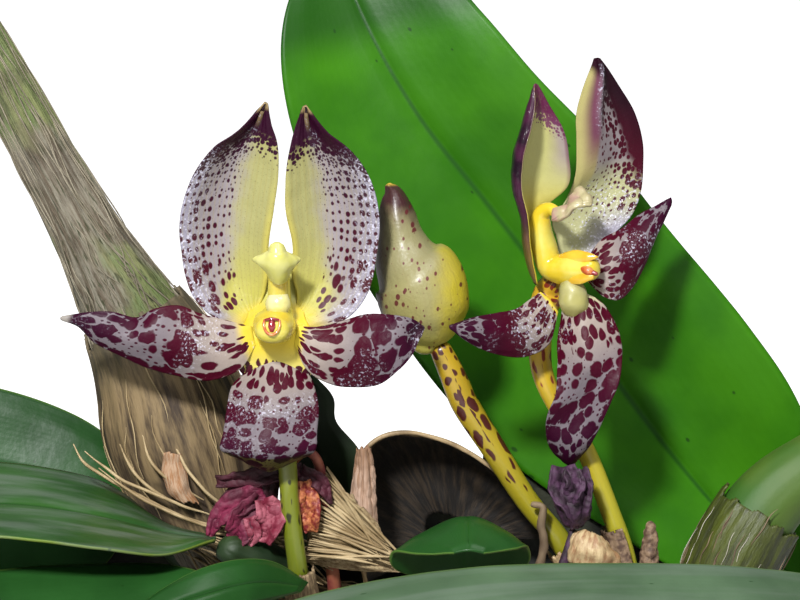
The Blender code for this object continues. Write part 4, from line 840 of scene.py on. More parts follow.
def far_sepal_paint(name):
    """Inner face of the other sepal: cream strip, a painted highlight along the keel, speckles that merge to
    maroon at tip and margin.
    """
    paint = Paint(name)
    u, t = paint.u, paint.t
    wander = paint.noise(380.0) - 0.5
    ground = paint.mix(paint.ease(t, 0.50, 0.36), (0.30, 0.25, 0.26), (0.50, 0.49, 0.25))
    # Painted sheen: a bluish lilac tint low on the outer half.
    ground = paint.mix(paint.ease(t, 0.34, 0.16) * paint.ease(u, 0.45, 0.9), ground, (0.42, 0.39, 0.47))
    strip = paint.ease(u + wander * 0.06, 0.4, 0.33)
    cream = paint.mix(paint.ease(u, 0.04, 0.3) * paint.ease(t, 0.38, 0.6), (0.5, 0.44, 0.17), (0.18, 0.055,
                                                                                               0.095))
    ground = paint.mix(strip * paint.ease(t, 0.3, 0.42), ground, cream)
    right = paint.ease(u, 0.33, 0.42)
    reach = paint.ease(t, 0.2, 0.86) * 0.62 + paint.ease(u, 0.45, 1.0) * 0.5
    reach = reach + (wander * 0.18 + 0.08)
    size = right * (0.16 + paint.ease(reach, 0.25, 0.85) * 0.46) * paint.ease(t, 0.16, 0.3)
    dots = paint.spots(u * 17.0 + wander * 0.7, t * 36.0, size, 4, jitter=0.85, soft=0.09)
    solid = paint.ease(reach, 0.62, 0.78) * paint.ease(u, 0.34, 0.4)
    tip = paint.ease(t + u * 0.15, 0.86, 0.94)
    dark = paint.most(dots, solid, tip)
    colour = paint.mix(dark, ground, paint.mix(paint.ease(t + u * 0.3, 0.65, 1.05), MAROON, (0.02, 0.001,
                                                                                             0.008)))
    # A painted highlight along the keel, lilac white; it also places glints and coat.
    keel = paint.peak(u, 0.36, 0.06) * paint.ease(t, 0.56, 0.68) * paint.ease(t, 0.97, 0.9)
    colour = paint.mix(keel * 0.25, colour, (0.3, 0.2, 0.3))
    # Painted glints on the keel and on the low cupped base; the same mask sets the coat.
    shine = paint.most(keel, paint.ease(t, 0.45, 0.3) * paint.ease(u, 0.2, 0.6))
    return paint.finish(paint.painted_glints(colour, shine), 0.42, paint.noise(1800.0), 0.25, 0.0002,
                        coat=0.03 + shine * 0.9, specular=0.12, coat_roughness=0.26, sparkle=0.0005)


def soft_paint(name, low, high, scale=240.0, roughness=0.4, strength=0.2, coat=0.0, bumps=1500.0):
    """Two colours in soft patches with a fine relief. It needs no UV map."""
    paint = Paint(name, uv=False)
    colour = paint.mix(paint.ease(paint.noise(scale, 3.0), 0.35, 0.65), low, high)
    return paint.finish(colour, roughness, paint.noise(bumps, 2.0), strength, 0.0002, coat=coat,
                        coat_roughness=0.12)


def bud_paint(name):
    """Cream bud with a golden belly, maroon at its tip, and painted shade in maroon down its left side."""
    paint = Paint(name)
    x, _, z = paint.split(paint.place)
    wander = paint.noise(300.0) - 0.5
    colour = paint.mix(paint.ease(z, 0.0590, 0.0680), (0.40, 0.36, 0.13), (0.33, 0.30, 0.145))
    belly = paint.ease(x + wander * 0.003, 0.0035, 0.0082)
    colour = paint.mix(belly * 0.95, colour, (0.66, 0.54, 0.03))
    colour = paint.mix(paint.ease(z, 0.058, 0.0545) * 0.8, colour, (0.52, 0.47, 0.07))
    # Painted shade: the left side is darkened towards maroon. The same mask also gives the tip its own
    # maroon.
    shade = paint.ease(x + wander * 0.002, -0.0012, -0.003) * 0.8
    shade = shade * paint.ease(z, 0.056, 0.06)
    shade = paint.most(shade, paint.ease(z + wander * 0.004, 0.0705, 0.075) * 0.95)
    colour = paint.mix(shade, colour, (0.045, 0.003, 0.014))
    colour = paint.mix(paint.ease(z, 0.0765, 0.0770), colour, (0.62, 0.42, 0.05))
    crowd = paint.ease(paint.noise(190.0, 1.0), 0.40, 0.60)
    dots = paint.spots(x * 900.0, z * 620.0, crowd * 0.17, 4.0, jitter=1.0, vary=1.4)
    colour = paint.mix(dots * 0.9, colour, (0.13, 0.004, 0.02))
    veins = paint.math("SINE", paint.u * 160.0)
    colour = paint.mix(paint.ease(veins, 0.5, 1.0) * 0.1, colour, (0.3, 0.2, 0.08))
    return paint.finish(colour, 0.42, paint.glitter(), 0.35, 0.00022, coat=0.15, specular=0.3,
                        coat_roughness=0.25)


def stalk_paint(name, top, foot, marks, span, across, along, size):
    """A stalk that changes from top to foot, with long maroon marks along one stretch."""
    paint = Paint(name)
    t = paint.t
    wander = paint.noise(400.0) - 0.5
    colour = paint.mix(paint.ease(t + wander * 0.1, 0.15, 0.85), top, foot)
    lines = paint.math("SINE", paint.u * 75.4)
    colour = paint.mix(paint.ease(lines, 0.2, 1.0) * 0.12, colour, (0.3, 0.3, 0.03))
    zone = paint.ease(t, span[0] - 0.05, span[0] + 0.05) * paint.ease(t, span[1] + 0.12, span[1] - 0.12)
    blots = paint.spots(paint.u * across + wander, t * along, zone * size, 2.0)
    colour = paint.mix(blots, colour, marks)
    return paint.finish(colour, 0.38, paint.noise(1500.0), 0.15, 0.0002, coat=0.3)


def leaf_paint(name, light, dark, roughness, shade=0.0, margin=(0.16, 0.30, 0.05), painted_sheen=0.0, specular=0.2):
    """Leathery leaf: midrib, fine long veins, soft mottling, a paler margin and grey green patches of painted
    sheen.
    """
    paint = Paint(name)
    u = paint.u
    middle = paint.math("ABSOLUTE", u - 0.5)
    colour = paint.mix(paint.ease(paint.noise(70.0, 4.0), 0.3, 0.72), dark, light)
    veins = paint.math("SINE", (u + paint.noise(60.0, 1.0) * 0.012) * 190.0)
    colour = paint.mix(paint.ease(veins, 0.3, 1.0) * 0.05, colour, dark)
    colour = paint.mix(paint.peak(middle, 0.0, 0.02) * 0.75, colour, (0.01, 0.075, 0.006))
    colour = paint.mix(paint.ease(middle, 0.486, 0.499) * 0.6, colour, margin)
    flecks = paint.spots(u * 3.0, paint.t * 7.0, 0.016, 6.0, jitter=1.0, soft=0.008)
    colour = paint.mix(flecks * 0.8, colour, (0.01, 0.045, 0.006))
    # Painted sheen: soft grey green patches over the blade.
    if painted_sheen:
        sheen_patches = paint.ease(paint.noise(1.0, 4.0, paint.vector(u * 9.0, paint.t * 5.0)), 0.4, 0.68)
        colour = paint.mix(sheen_patches * painted_sheen, colour, (0.2, 0.24, 0.2))
    # A painted shadow band across the blade towards its tip.
    if shade:
        colour = paint.mix(paint.ease(paint.t, 0.76, 0.83) * shade, colour, (0.006, 0.055, 0.004))
    height = veins * 0.04 + paint.noise(700.0, 3.0)
    return paint.finish(colour, roughness, height, 0.20, 0.0002, coat=0.02, specular=specular,
                        coat_roughness=0.35)


def bulb_paint(name, green, cover):
    """Pseudobulb under a net of old sheath: long grey and brown streaks over green."""
    paint = Paint(name)
    streak = paint.noise(1.0, 5.0, paint.vector(paint.u * 40.0, paint.t * 10.0), 0.6)
    net = paint.noise(1.0, 3.0, paint.vector(paint.u * 90.0, paint.t * 34.0, 5.0), 0.6)
    patch = paint.ease(paint.noise(62.0, 3.0) + (0.55 - paint.t) * 0.22, cover + 0.06, cover - 0.06)
    skin = paint.mix(paint.ease(streak, 0.40, 0.60), (0.30, 0.265, 0.195), (0.115, 0.080, 0.045))
    skin = paint.mix(paint.ease(streak, 0.56, 0.68) * 0.6, skin, (0.4, 0.34, 0.24))
    moss = paint.mix(paint.ease(streak, 0.40, 0.62), green, (0.24, 0.27, 0.09))
    colour = paint.mix(patch * 0.85, skin, moss)
    colour = paint.mix(paint.ease(net, 0.45, 0.36) * 0.9, colour, (0.05, 0.055, 0.016))
    blotch = paint.noise(85.0, 3.0, None, 0.6)
    colour = paint.mix(paint.ease(blotch, 0.52, 0.66) * 0.5, colour, (0.065, 0.045, 0.026))
    return paint.finish(colour, 0.66, streak + net * 0.6, 0.8, 0.0007)


def straw_paint(name, light, dark, across=34.0, along=3.0, roughness=0.75, stain=0.5, fringe=None):
    """Dry sheath with long fibres along it and darker stains. A fringe colours its far end."""
    paint = Paint(name)
    streak = paint.noise(1.0, 5.0, paint.vector(paint.u * across, paint.t * along), 0.65)
    colour = paint.mix(paint.ease(streak, 0.36, 0.62), dark, light)
    colour = paint.mix(paint.ease(paint.noise(130.0, 3.0), 0.55, 0.72) * stain, colour, dark)
    if fringe:
        colour = paint.mix(paint.ease(paint.t, 0.55, 0.95) * 0.7, colour, fringe)
    return paint.finish(colour, roughness, streak, 0.8, 0.0005)


# Flowers


def tepal_relief(size=2.2, amount=0.09, seed=0.0):
    """Soft uneven relief of a fleshy tepal."""
    return lumpy((amount, size, seed), (0.035, 0.9, seed + 3))


def sepal_relief(outer_high, seed):
    """Relief of a lateral sepal: a keel towards the tip and fine veins on the inner half."""

    def height(u, t, point):
        outer = u if outer_high else 1 - u
        keel = 0.45 * bell(outer, 0.42, 0.07) * ease(t, 0.78, 0.92)
        veins = 0.025 * math.sin(outer * 64) * ease(outer, 0.55, 0.3)
        rim = 0.30 * bell(outer, 0.03, 0.06) * ease(t, 0.85, 0.6)
        return keel + veins + rim + rough(point, 2.4, seed) * 0.10 + rough(point, 0.9, seed) * 0.03

    return height


# The tongue of the lip with its two side points, finer than the solid that it stands for.
A_LIP_STAR = [
    [(-0.2, -3.2, 7.2), (0.9, -3.4, 7.1), (2.0, -3.2, 7.2)],
    [(-0.7, -3.7, 8.0), (0.9, -4.2, 7.8), (2.4, -3.7, 8.0)],
    [(-1.4, -3.9, 8.8), (0.8, -4.8, 8.6), (2.9, -3.9, 8.8)],
    [(-2.5, -3.7, 9.7), (0.8, -5.2, 9.3), (3.7, -3.7, 9.7)],
    [(-1.4, -4.1, 10.2), (0.7, -5.4, 9.9), (2.7, -4.1, 10.2)],
    [(-0.4, -4.3, 10.6), (0.7, -5.4, 10.4), (1.9, -4.3, 10.6)],
    [(-0.1, -4.6, 11.3), (0.7, -5.4, 11.2), (1.5, -4.6, 11.3)],
    [(0.3, -5.0, 12.0), (0.7, -5.2, 12.1), (1.1, -5.0, 12.0)],
]
# The fused feet of the sepals and petals behind the column.
A_HEART = [
    [(-3.4, 1.5, -7.6), (0.2, 1.0, -8.0), (4.2, 1.5, -7.6)],
    [(-5.0, 0.8, -5.4), (0.2, 0.5, -5.6), (5.8, 0.8, -5.4)],
    [(-5.4, 0.3, -3.2), (0.2, 0.0, -3.2), (6.0, 0.3, -3.2)],
    [(-4.8, 0.5, -1.0), (0.2, 0.1, -1.0), (5.4, 0.5, -1.0)],
    [(-3.6, 1.8, 1.2), (0.2, 0.9, 1.4), (4.2, 1.8, 1.2)],
    [(-3.0, 4.0, 3.8), (0.5, 3.2, 3.8), (4.2, 4.0, 3.8)],
    [(-3.0, 4.6, 7.0), (0.8, 4.2, 7.0), (4.6, 4.6, 7.0)],
    [(-2.2, 4.8, 9.4), (0.9, 4.4, 9.6), (3.8, 4.8, 9.4)],
]


def heart_paint(name):
    """Yellow heart of the flower with a golden middle and maroon rays below."""
    paint = Paint(name)
    wander = paint.noise(700.0) - 0.5
    x, _, z = paint.split(paint.place)
    golden = paint.ease(z + wander * 0.004, 0.0625, 0.0585)
    colour = paint.mix(golden, (0.66, 0.62, 0.14), (0.90, 0.66, 0.04))
    colour = paint.mix(paint.ease(z, 0.0560, 0.0520), colour, (0.86, 0.76, 0.20))
    # Rays of maroon where it meets the petals and the sepal below.
    far = paint.math("MAXIMUM", paint.math("ABSOLUTE", x + 0.0168), (0.0588 - z) * 0.8)
    ring = paint.ease(far, 0.0036, 0.0048) * paint.ease(z, 0.059, 0.057)
    rays = paint.spots(x * 900.0 + wander, z * 520.0, ring * 0.42, 3.0, jitter=0.7)
    colour = paint.mix(rays, colour, MAROON)
    return paint.finish(colour, 0.40, paint.noise(1800.0), 0.2, 0.0002, coat=0.10, specular=0.2,
                        sparkle=0.0003)


def path_at(centre, points):
    return moved([points], centre)[0]


def tepal(name, rows, flower, coat, node, across, along, relief, back, front=TO_VIEWER):
    blade(name, moved(rows, flower), TEPAL_THICKNESS, coat, "tepal", node, across, along, relief, back=back,
          front=front)


def small_stem(name, centre, points, radii, coat, steps, sides, detail=None, slot="column"):
    """A small part of a flower that stands for no node of its own."""
    stem(name, path_at(centre, points), radii, coat, slot, steps=steps, sides=sides, detail=detail)


def flower_a(coats):
    petal_back = petal_paint("a_petal_back", 11, size=0.5)
    left = petal_paint("a_petal_left", 2, size=0.52, foot=0.07, tip=1.2, pale_end=0.93)
    right = petal_paint("a_petal_right", 7, across=4.0, along=8.0, size=0.50, foot=0.07)
    low = petal_paint("a_dorsal", 12, across=5.8, along=9.4, size=0.36, foot=0.09, tip=1.2, beads=False,
                      under=0.745)
    tepal("flower_a_sepal_left", A_LATERAL_LEFT, FLOWER_A, sepal_paint("a_sepal_left", False, 1),
          "flower_a_lateral_sepal_left", 44, 100, sepal_relief(False, 1), coats["sepal_back"])
    tepal("flower_a_sepal_right", A_LATERAL_RIGHT, FLOWER_A, sepal_paint("a_sepal_right", True, 5),
          "flower_a_lateral_sepal_right", 44, 100, sepal_relief(True, 2), coats["sepal_back"])
    tepal("flower_a_petal_a", A_PETAL_LEFT, FLOWER_A, left, "flower_a_petal_left", 44, 100,
          tepal_relief(seed=4), petal_back)
    tepal("flower_a_petal_b", A_PETAL_RIGHT, FLOWER_A, right, "flower_a_petal_right", 44, 90,
          tepal_relief(seed=6), petal_back)
    tepal("flower_a_sepal_low", A_DORSAL, FLOWER_A, low, "flower_a_dorsal_sepal", 44, 90,
          tepal_relief(seed=8), coats["sepal_underside"])
    tepal("flower_a_heart", A_HEART, FLOWER_A, heart_paint("a_heart"), None, 40, 40, tepal_relief(seed=3),
          None)

    def star(u, t, point):
        return 0.7 * bell(u, 0.5, 0.22) * ease(t, 1.0, 0.6)

    blade("flower_a_lip_star", moved(A_LIP_STAR, FLOWER_A), LIP_THICKNESS, coats["lip"], "lip",
          "flower_a_lip", 32, 56, star, edge=0.5)
    column = path_at(FLOWER_A, A_COLUMN)

    def swell(u, t, point):
        return 0.55 * min(abs(point.x - column[0].x) / 1.9, 1.0) ** 2 * ease(t, 0.62, 0.30)

    stem("flower_a_column_body", column, A_COLUMN_RADII, coats["column"], "column", "flower_a_column", 70, 32,
         swell)
    small_stem("flower_a_column_knee", FLOWER_A, [(0.6, -1.2, 2.2), (0.7, -1.9, 3.4), (0.8, -1.3, 4.8)],
               [1.3, 1.75, 1.2], coats["column_pale"], 28, 24)
    small_stem("flower_a_lip_claw", FLOWER_A, [(0.75, -2.9, 8.4), (0.7, -2.3, 6.6), (0.65, -1.5, 4.4)],
               [1.25, 1.30, 1.35], coats["column"], 28, 24)
    # The U-shaped rim of the stigma and the red drop inside.
    small_stem("flower_a_stigma_rim", FLOWER_A,
               [(-1.00, -6.1, 1.75), (-1.05, -6.4, 1.0), (-0.70, -6.6, 0.2), (0.0, -6.7, -0.15),
                (0.70, -6.6, 0.2), (1.05, -6.4, 1.0), (1.00, -6.1, 1.75)],
               [0.16, 0.20, 0.20, 0.22, 0.20, 0.20, 0.16], coats["anther"], 50, 12)
    small_stem("flower_a_stigma_top", FLOWER_A, [(-0.9, -6.2, 1.80), (0.0, -6.4, 1.95), (0.9, -6.2, 1.80)],
               [0.16, 0.22, 0.16], coats["stigma"], 24, 12)
    small_stem("flower_a_stigma", FLOWER_A, [(0.0, -6.1, 1.7), (0.0, -6.3, 0.9), (0.0, -6.3, 0.3)],
               [0.42, 0.52, 0.32], coats["stigma"], 24, 16)
    paint = stalk_paint("a_stalk", (0.34, 0.34, 0.02), (0.17, 0.22, 0.01), (0.030, 0.035, 0.004), (0.45, 0.9),
                        5.0, 16.0, 0.11)
    stem("flower_a_stem", path_at(FLOWER_A, A_STALK), A_STALK_RADII, paint, "stalk", "flower_a_stalk", 90, 24)


B_FRONT = (0.7, -0.7, 0.1)
# The crumpled tongue of flower B's lip.
B_LIP_TONGUE = [
    [(-1.3, -2.7, 9.1), (-1.1, -2.5, 9.8), (-0.9, -2.0, 10.4)],
    [(-0.4, -3.6, 9.3), (0.0, -3.2, 10.2), (0.2, -2.4, 11.0)],
    [(0.6, -4.2, 9.9), (1.2, -3.2, 11.0), (1.5, -2.0, 12.0)],
    [(1.7, -4.8, 10.9), (2.2, -3.6, 12.0), (2.2, -1.8, 13.4)],
    [(2.7, -5.0, 11.5), (3.0, -3.8, 12.3), (2.9, -2.2, 13.6)],
    [(3.8, -4.6, 11.3), (3.6, -3.8, 12.0), (3.3, -2.8, 12.9)],
    [(4.2, -4.0, 11.4), (4.0, -3.6, 11.8), (3.8, -3.2, 12.2)],
]
# Two flat wings beside the mouth of its column.
B_WING_UPPER = [
    [(-0.8, -0.4, 2.8), (-0.4, -0.7, 3.4), (-0.4, -0.4, 4.0)],
    [(0.5, -1.5, 2.9), (0.7, -1.9, 3.8), (0.7, -1.5, 4.6)],
    [(1.8, -2.7, 3.1), (2.0, -3.1, 4.1), (2.0, -2.7, 5.1)],
    [(3.0, -3.6, 3.4), (3.2, -3.9, 4.2), (3.2, -3.5, 5.0)],
    [(4.2, -4.1, 3.9), (4.3, -4.2, 4.3), (4.3, -4.0, 4.7)],
    [(4.9, -4.4, 4.2), (5.0, -4.4, 4.3), (5.0, -4.4, 4.4)],
]
B_WING_LOWER = [
    [(0.2, -1.2, 0.8), (0.5, -1.6, 1.3), (0.5, -1.4, 1.8)],
    [(1.4, -2.8, 0.5), (1.6, -3.3, 1.2), (1.6, -3.0, 2.0)],
    [(2.6, -3.9, 0.6), (2.8, -4.3, 1.3), (2.8, -4.0, 2.1)],
    [(3.6, -4.5, 1.1), (3.7, -4.7, 1.6), (3.7, -4.5, 2.1)],
    [(4.4, -4.8, 1.7), (4.5, -4.9, 1.8), (4.5, -4.8, 1.9)],
]


def flower_b(coats):
    def keel(u, t, point):
        return 0.5 * bell(u, 0.36, 0.06) * ease(t, 0.5, 0.7) + rough(point, 2.2, 3) * 0.1

    def waist(u, t, point):
        return 0.35 * bell(t, 0.52, 0.2) + 0.12 * rough(point, 2.0, 5)

    back = petal_paint("b_petal_back", 21, size=0.62)
    netted = petal_paint("b_petal_far", 14, across=5.6, along=9.0, size=0.60, foot=0.03, tip=0.88)
    near = petal_paint("b_petal_near", 17, across=4.6, along=9.0, size=0.58, foot=0.03, tip=0.90)
    low = petal_paint("b_dorsal", 19, across=4.6, along=12.0, size=0.46, foot=0.12, tip=0.90,
                      foot_colour=(0.74, 0.68, 0.40))
    tepal("flower_b_sepal_near", B_LATERAL_NEAR, FLOWER_B, near_sepal_paint("b_sepal_near"),
          "flower_b_lateral_sepal_left", 52, 90, tepal_relief(seed=10), coats["sepal_back"], B_FRONT)
    tepal("flower_b_sepal_far", B_LATERAL_FAR, FLOWER_B, far_sepal_paint("b_sepal_far"),
          "flower_b_lateral_sepal_right", 50, 100, keel, coats["sepal_back"], B_FRONT)
    tepal("flower_b_petal_a", B_PETAL_FAR, FLOWER_B, netted, "flower_b_petal_right", 40, 80,
          tepal_relief(seed=12), back, B_FRONT)
    tepal("flower_b_petal_b", B_PETAL_NEAR, FLOWER_B, near, "flower_b_petal_left", 40, 80,
          tepal_relief(seed=14), back, B_FRONT)
    tepal("flower_b_sepal_low", B_DORSAL, FLOWER_B, low, "flower_b_dorsal_sepal", 44, 100,
          tepal_relief(3.0, 0.22, 16), back, B_FRONT)
    blade("flower_b_lip_tongue", moved(B_LIP_TONGUE, FLOWER_B), 1.0, coats["lip_pink"], "lip", "flower_b_lip",
          36, 44, tepal_relief(1.1, 0.45, 3), edge=0.45, front=B_FRONT)
    stem("flower_b_column_body", path_at(FLOWER_B, B_COLUMN), B_COLUMN_RADII, coats["column"], "column",
         "flower_b_column", 80, 32, waist)
    for name, rows, seed in [("upper", B_WING_UPPER, 2), ("lower", B_WING_LOWER, 5)]:
        blade("flower_b_wing_" + name, moved(rows, FLOWER_B), 0.7, coats["column_orange"], "column", None, 24,
              36, tepal_relief(1.5, 0.12, seed), edge=0.5, front=B_FRONT)
    small_stem("flower_b_heart", FLOWER_B,
               [(1.4, -1.4, 0.8), (1.7, -2.0, -0.8), (1.9, -1.9, -2.2), (2.1, -1.0, -3.8)],
               [1.4, 2.0, 2.1, 1.4], coats["cream_boss"], 36, 28, lumpy((0.3, 1.6, 4)), "tepal")
    small_stem("flower_b_anther", FLOWER_B, [(2.9, -4.0, 2.7), (3.6, -4.6, 2.5), (4.3, -4.9, 2.2)],
               [0.45, 0.65, 0.40], coats["anther"], 26, 18)
    small_stem("flower_b_stigma", FLOWER_B, [(4.2, -5.0, 2.3), (4.8, -5.2, 2.1)], [0.34, 0.28],
               coats["stigma"], 20, 14)
    paint = stalk_paint("b_stalk", (0.80, 0.46, 0.02), (0.50, 0.46, 0.03), (0.26, 0.03, 0.01), (0.0, 0.40),
                        7.0, 16.0, 0.34)
    stem("flower_b_stem", path_at(FLOWER_B, B_STALK), B_STALK_RADII, paint, "stalk", "flower_b_stalk", 90, 24)


def bud():
    def swell(u, t, point):
        return 0.16 * math.cos(6 * math.pi * u) * ease(t, 0.2, 0.5) + rough(point, 2.5, 2) * 0.12

    stem("bud_closed", BUD, BUD_RADII, bud_paint("bud"), "lip", "bud", 90, 48, swell)
    paint = stalk_paint("bud_stalk", (0.50, 0.32, 0.012), (0.34, 0.34, 0.015), (0.070, 0.007, 0.003),
                        (0.03, 0.50), across=7.5, along=15.0, size=0.38)
    stem("bud_stem", BUD_STALK, BUD_STALK_RADII, paint, "stalk", "bud_stalk", 90, 24)


# Leaves and pseudobulbs


def leaf_relief(depth, seed):
    """Groove along the midrib and slow waves of the blade."""

    def height(u, t, point):
        groove = -depth * bell(u, 0.5, 0.03) * ease(t, 0.0, 0.1) * ease(t, 1.0, 0.93)
        wave = LEAF_WAVE * rough(point, 22.0, seed) * ease(min(t, 1 - t), 0.0, 0.15)
        return groove + wave + rough(point, 4.0, seed) * 0.06

    return height


def leaves():
    bright = leaf_paint("leaf_bright", (0.050, 0.230, 0.004), (0.026, 0.150, 0.003), 0.42, shade=0.75,
                        margin=(0.030, 0.16, 0.004), specular=0.12)
    dark = leaf_paint("leaf_dark", (0.022, 0.100, 0.018), (0.012, 0.060, 0.010), 0.34)
    striped = leaf_paint("leaf_striped", (0.040, 0.130, 0.024), (0.018, 0.070, 0.014), 0.30, painted_sheen=0.5,
                         margin=(0.25, 0.33, 0.04))
    grey = leaf_paint("leaf_grey", (0.105, 0.180, 0.095), (0.060, 0.110, 0.056), 0.45, painted_sheen=0.3)
    shaded = leaf_paint("leaf_shaded", (0.012, 0.030, 0.006), (0.003, 0.007, 0.002), 0.5,
                        margin=(0.02, 0.04, 0.01))
    coats = {"leaf_back": bright, "leaf_right": bright, "leaf_small_back": shaded, "leaf_low_middle": striped,
             "leaf_front": grey}
    for number, (name, rows) in enumerate(LEAVES.items()):
        groove = 0.12 if name == "leaf_middle" else LEAF_GROOVE
        blade(name + "_blade", moved(rows), LEAF_THICKNESS, coats.get(name, dark), "leaf", name, 40, 90,
              leaf_relief(groove, number * 3.1), edge=0.3)


def bulb_detail(depth, seed):
    """Long wrinkles around a pseudobulb."""

    def detail(u, t, point):
        around = Vector((3.6 * math.cos(2 * math.pi * u), 3.6 * math.sin(2 * math.pi * u), 3.0 * t))
        return depth * rough(around, 1.0, seed) + 0.45 * depth * rough(around * 2.3, 1.0, seed + 4)

    return detail


def around_axis(axis, radii, angle, t, clearance):
    """The point at an angle around a stem. Angle 0 faces the viewer."""
    points = [Vector(point) for point in axis]
    centre = spline(points, t)
    direction = (spline(points, min(t + 0.02, 1)) - spline(points, max(t - 0.02, 0))).normalized()
    side = direction.cross(Vector((0, -1, 0))).normalized()
    front = side.cross(direction).normalized()
    reach = spline([Vector((radius, 0, 0)) for radius in radii], t).x + clearance
    return centre + reach * (math.cos(angle) * front + math.sin(angle) * side)


def wrap(axis, radii, angles, clearance, stretch):
    """Rows of points around a stretch of a stem, between two angles in degrees."""
    turns = [math.radians(angles[0] + (angles[1] - angles[0]) * column / (WRAP_COLUMNS - 1))
             for column in range(WRAP_COLUMNS)]
    places = [stretch[0] + (stretch[1] - stretch[0]) * index / (WRAP_ROWS - 1) for index in range(WRAP_ROWS)]
    return [[around_axis(axis, radii, turn, t, clearance) for turn in turns] for t in places]


def pseudobulbs():
    big = bulb_paint("bulb_netted", (0.135, 0.205, 0.04), 0.50)
    smooth = soft_paint("bulb_smooth", (0.032, 0.125, 0.004), (0.085, 0.155, 0.010), 60.0, 0.62, 0.15)
    # The small pseudobulbs are dark green, darkened further as painted shade deep among the leaves.
    small = soft_paint("bulb_small_shaded", (0.008, 0.028, 0.005), (0.030, 0.070, 0.012), 120.0, 0.6, 0.3)
    for number, (name, (axis, radii)) in enumerate(BULBS.items()):
        if name == "pseudobulb_left":
            stem(name + "_body", axis, radii, big, "bulb", name, 150, 80, bulb_detail(0.55, 1.0))
        elif name == "pseudobulb_right":
            stem(name + "_body", axis, radii, smooth, "bulb", name, 90, 56, bulb_detail(0.12, 2.0))
        else:
            stem(name + "_body", axis, radii, small, "bulb", name, 48, 36, bulb_detail(0.3, number * 2.0))


def net_of_fibres(name, bulb, count, stretch, span, clearance, material, radius, seed, drift, sway):
    """Thin fibres that run along a pseudobulb and cross at narrow angles."""
    axis, radii = BULBS[bulb]
    draw = random.Random(seed)
    lines = []
    for number in range(count):
        start = draw.uniform(*stretch)
        length = draw.uniform(*span)
        angle = draw.uniform(-math.pi, math.pi)
        turn = draw.uniform(-drift, drift)
        lift = draw.uniform(0.0, 0.35)
        line = []
        for index in range(11):
            f = index / 10
            t = min(start + length * f, 0.99)
            wave = sway * math.sin(9 * f + number)
            away = clearance + lift * math.sin(math.pi * f)
            line.append(around_axis(axis, radii, angle + turn * f + wave, t, away))
        lines.append(line)
    return fibres(name, lines, material, "dry", radius)


def torn(seed, depth, low=False):
    """A ragged far end, and a ragged near end too when low is set."""

    def keep(u, t):
        coarse = 0.5 + 0.5 * rough((u * 9, 0.3, 0.0), 1.0, seed)
        fine = abs(rough((u * 36, 0.7, 0.0), 1.0, seed + 2))
        jag = depth * coarse + 0.4 * depth * fine
        return t < 1 - jag and (not low or t > 0.6 * jag)

    return keep


def sheaths(coats):
    """Dry coats and loose fibres around the feet of the two large pseudobulbs."""
    def ribs(u, t, point):
        return 0.30 * rough((u * 30, t * 2.5, 0.0), 1.0, 7) + 0.35 * rough((u * 9, t * 1.5, 3.0), 1.0, 8)

    axis, radii = BULBS["pseudobulb_left"]
    skirt = straw_paint("skirt", (0.30, 0.205, 0.095), (0.045, 0.024, 0.010), 30.0, 2.6, stain=0.8,
                        fringe=(0.14, 0.115, 0.065))
    blade("sheath_left_coat", wrap(axis, radii, (-140, 140), 0.9, (0.03, 0.5)), SHEATH_THICKNESS, skirt,
          "dry", "sheath_left", 110, 70, ribs, torn(3, 0.16))
    olive = straw_paint("olive_sheath", (0.085, 0.105, 0.008), (0.030, 0.036, 0.004), 26.0, 2.4, 0.5,
                        stain=0.3)
    axis, radii = BULBS["pseudobulb_right"]
    blade("sheath_right_coat", wrap(axis, radii, (-140, 140), 0.8, (0.12, 0.6)), SHEATH_THICKNESS, olive,
          "dry", "sheath_right", 90, 60, ribs, torn(5, 0.22))
    for name, bulb, count, stretch, span, clearance, coat, radius, seed, drift, sway in [
            ("net_left", "pseudobulb_left", 110, (0.22, 0.85), (0.10, 0.28), 0.15, "grey_fibre", 0.10, 3,
             0.25, 0.08),
            ("skirt_left", "pseudobulb_left", 34, (0.02, 0.26), (0.10, 0.24), 1.25, "straw_fibre", 0.10, 4,
             0.10, 0.03),
            ("net_right", "pseudobulb_right", 16, (0.12, 0.36), (0.08, 0.16), 1.05, "pale_fibre", 0.06, 6,
             0.12, 0.02),
            ("brown_right", "pseudobulb_right", 30, (0.10, 0.42), (0.10, 0.2), 1.0, "brown_fibre", 0.09, 8,
             0.10, 0.02)]:
        net_of_fibres(name, bulb, count, stretch, span, clearance, coats[coat], radius, seed, drift, sway)


LOOSE_FIBRES = [
    [(-44.9, 6, 41.3), (-43.6, 5.6, 39.0), (-41.1, 6, 37.2), (-33.3, 5, 33.0), (-24.2, 4, 29.9),
     (-18.0, 6, 28.6)],
    [(-43.3, 6.4, 40.3), (-38.2, 5, 36.6), (-31.4, 5, 33.6), (-25.0, 6, 31.0)],
    [(-38.6, 7, 41.2), (-36.6, 6, 37.6), (-34.2, 6, 35.2), (-31.0, 7, 33.0)],
    [(-35.6, 8, 42.2), (-34.0, 6.6, 38.6), (-30.6, 6, 35.6), (-27.0, 7, 33.4)],
    [(-31.8, 7.6, 42.0), (-29.4, 6.2, 38.0), (-26.6, 6, 34.6), (-22.0, 7, 31.2)],
    [(-41.5, 6, 38.0), (-35.4, 4.4, 34.0), (-28.5, 3.6, 31.2), (-21.8, 4, 28.8)],
]


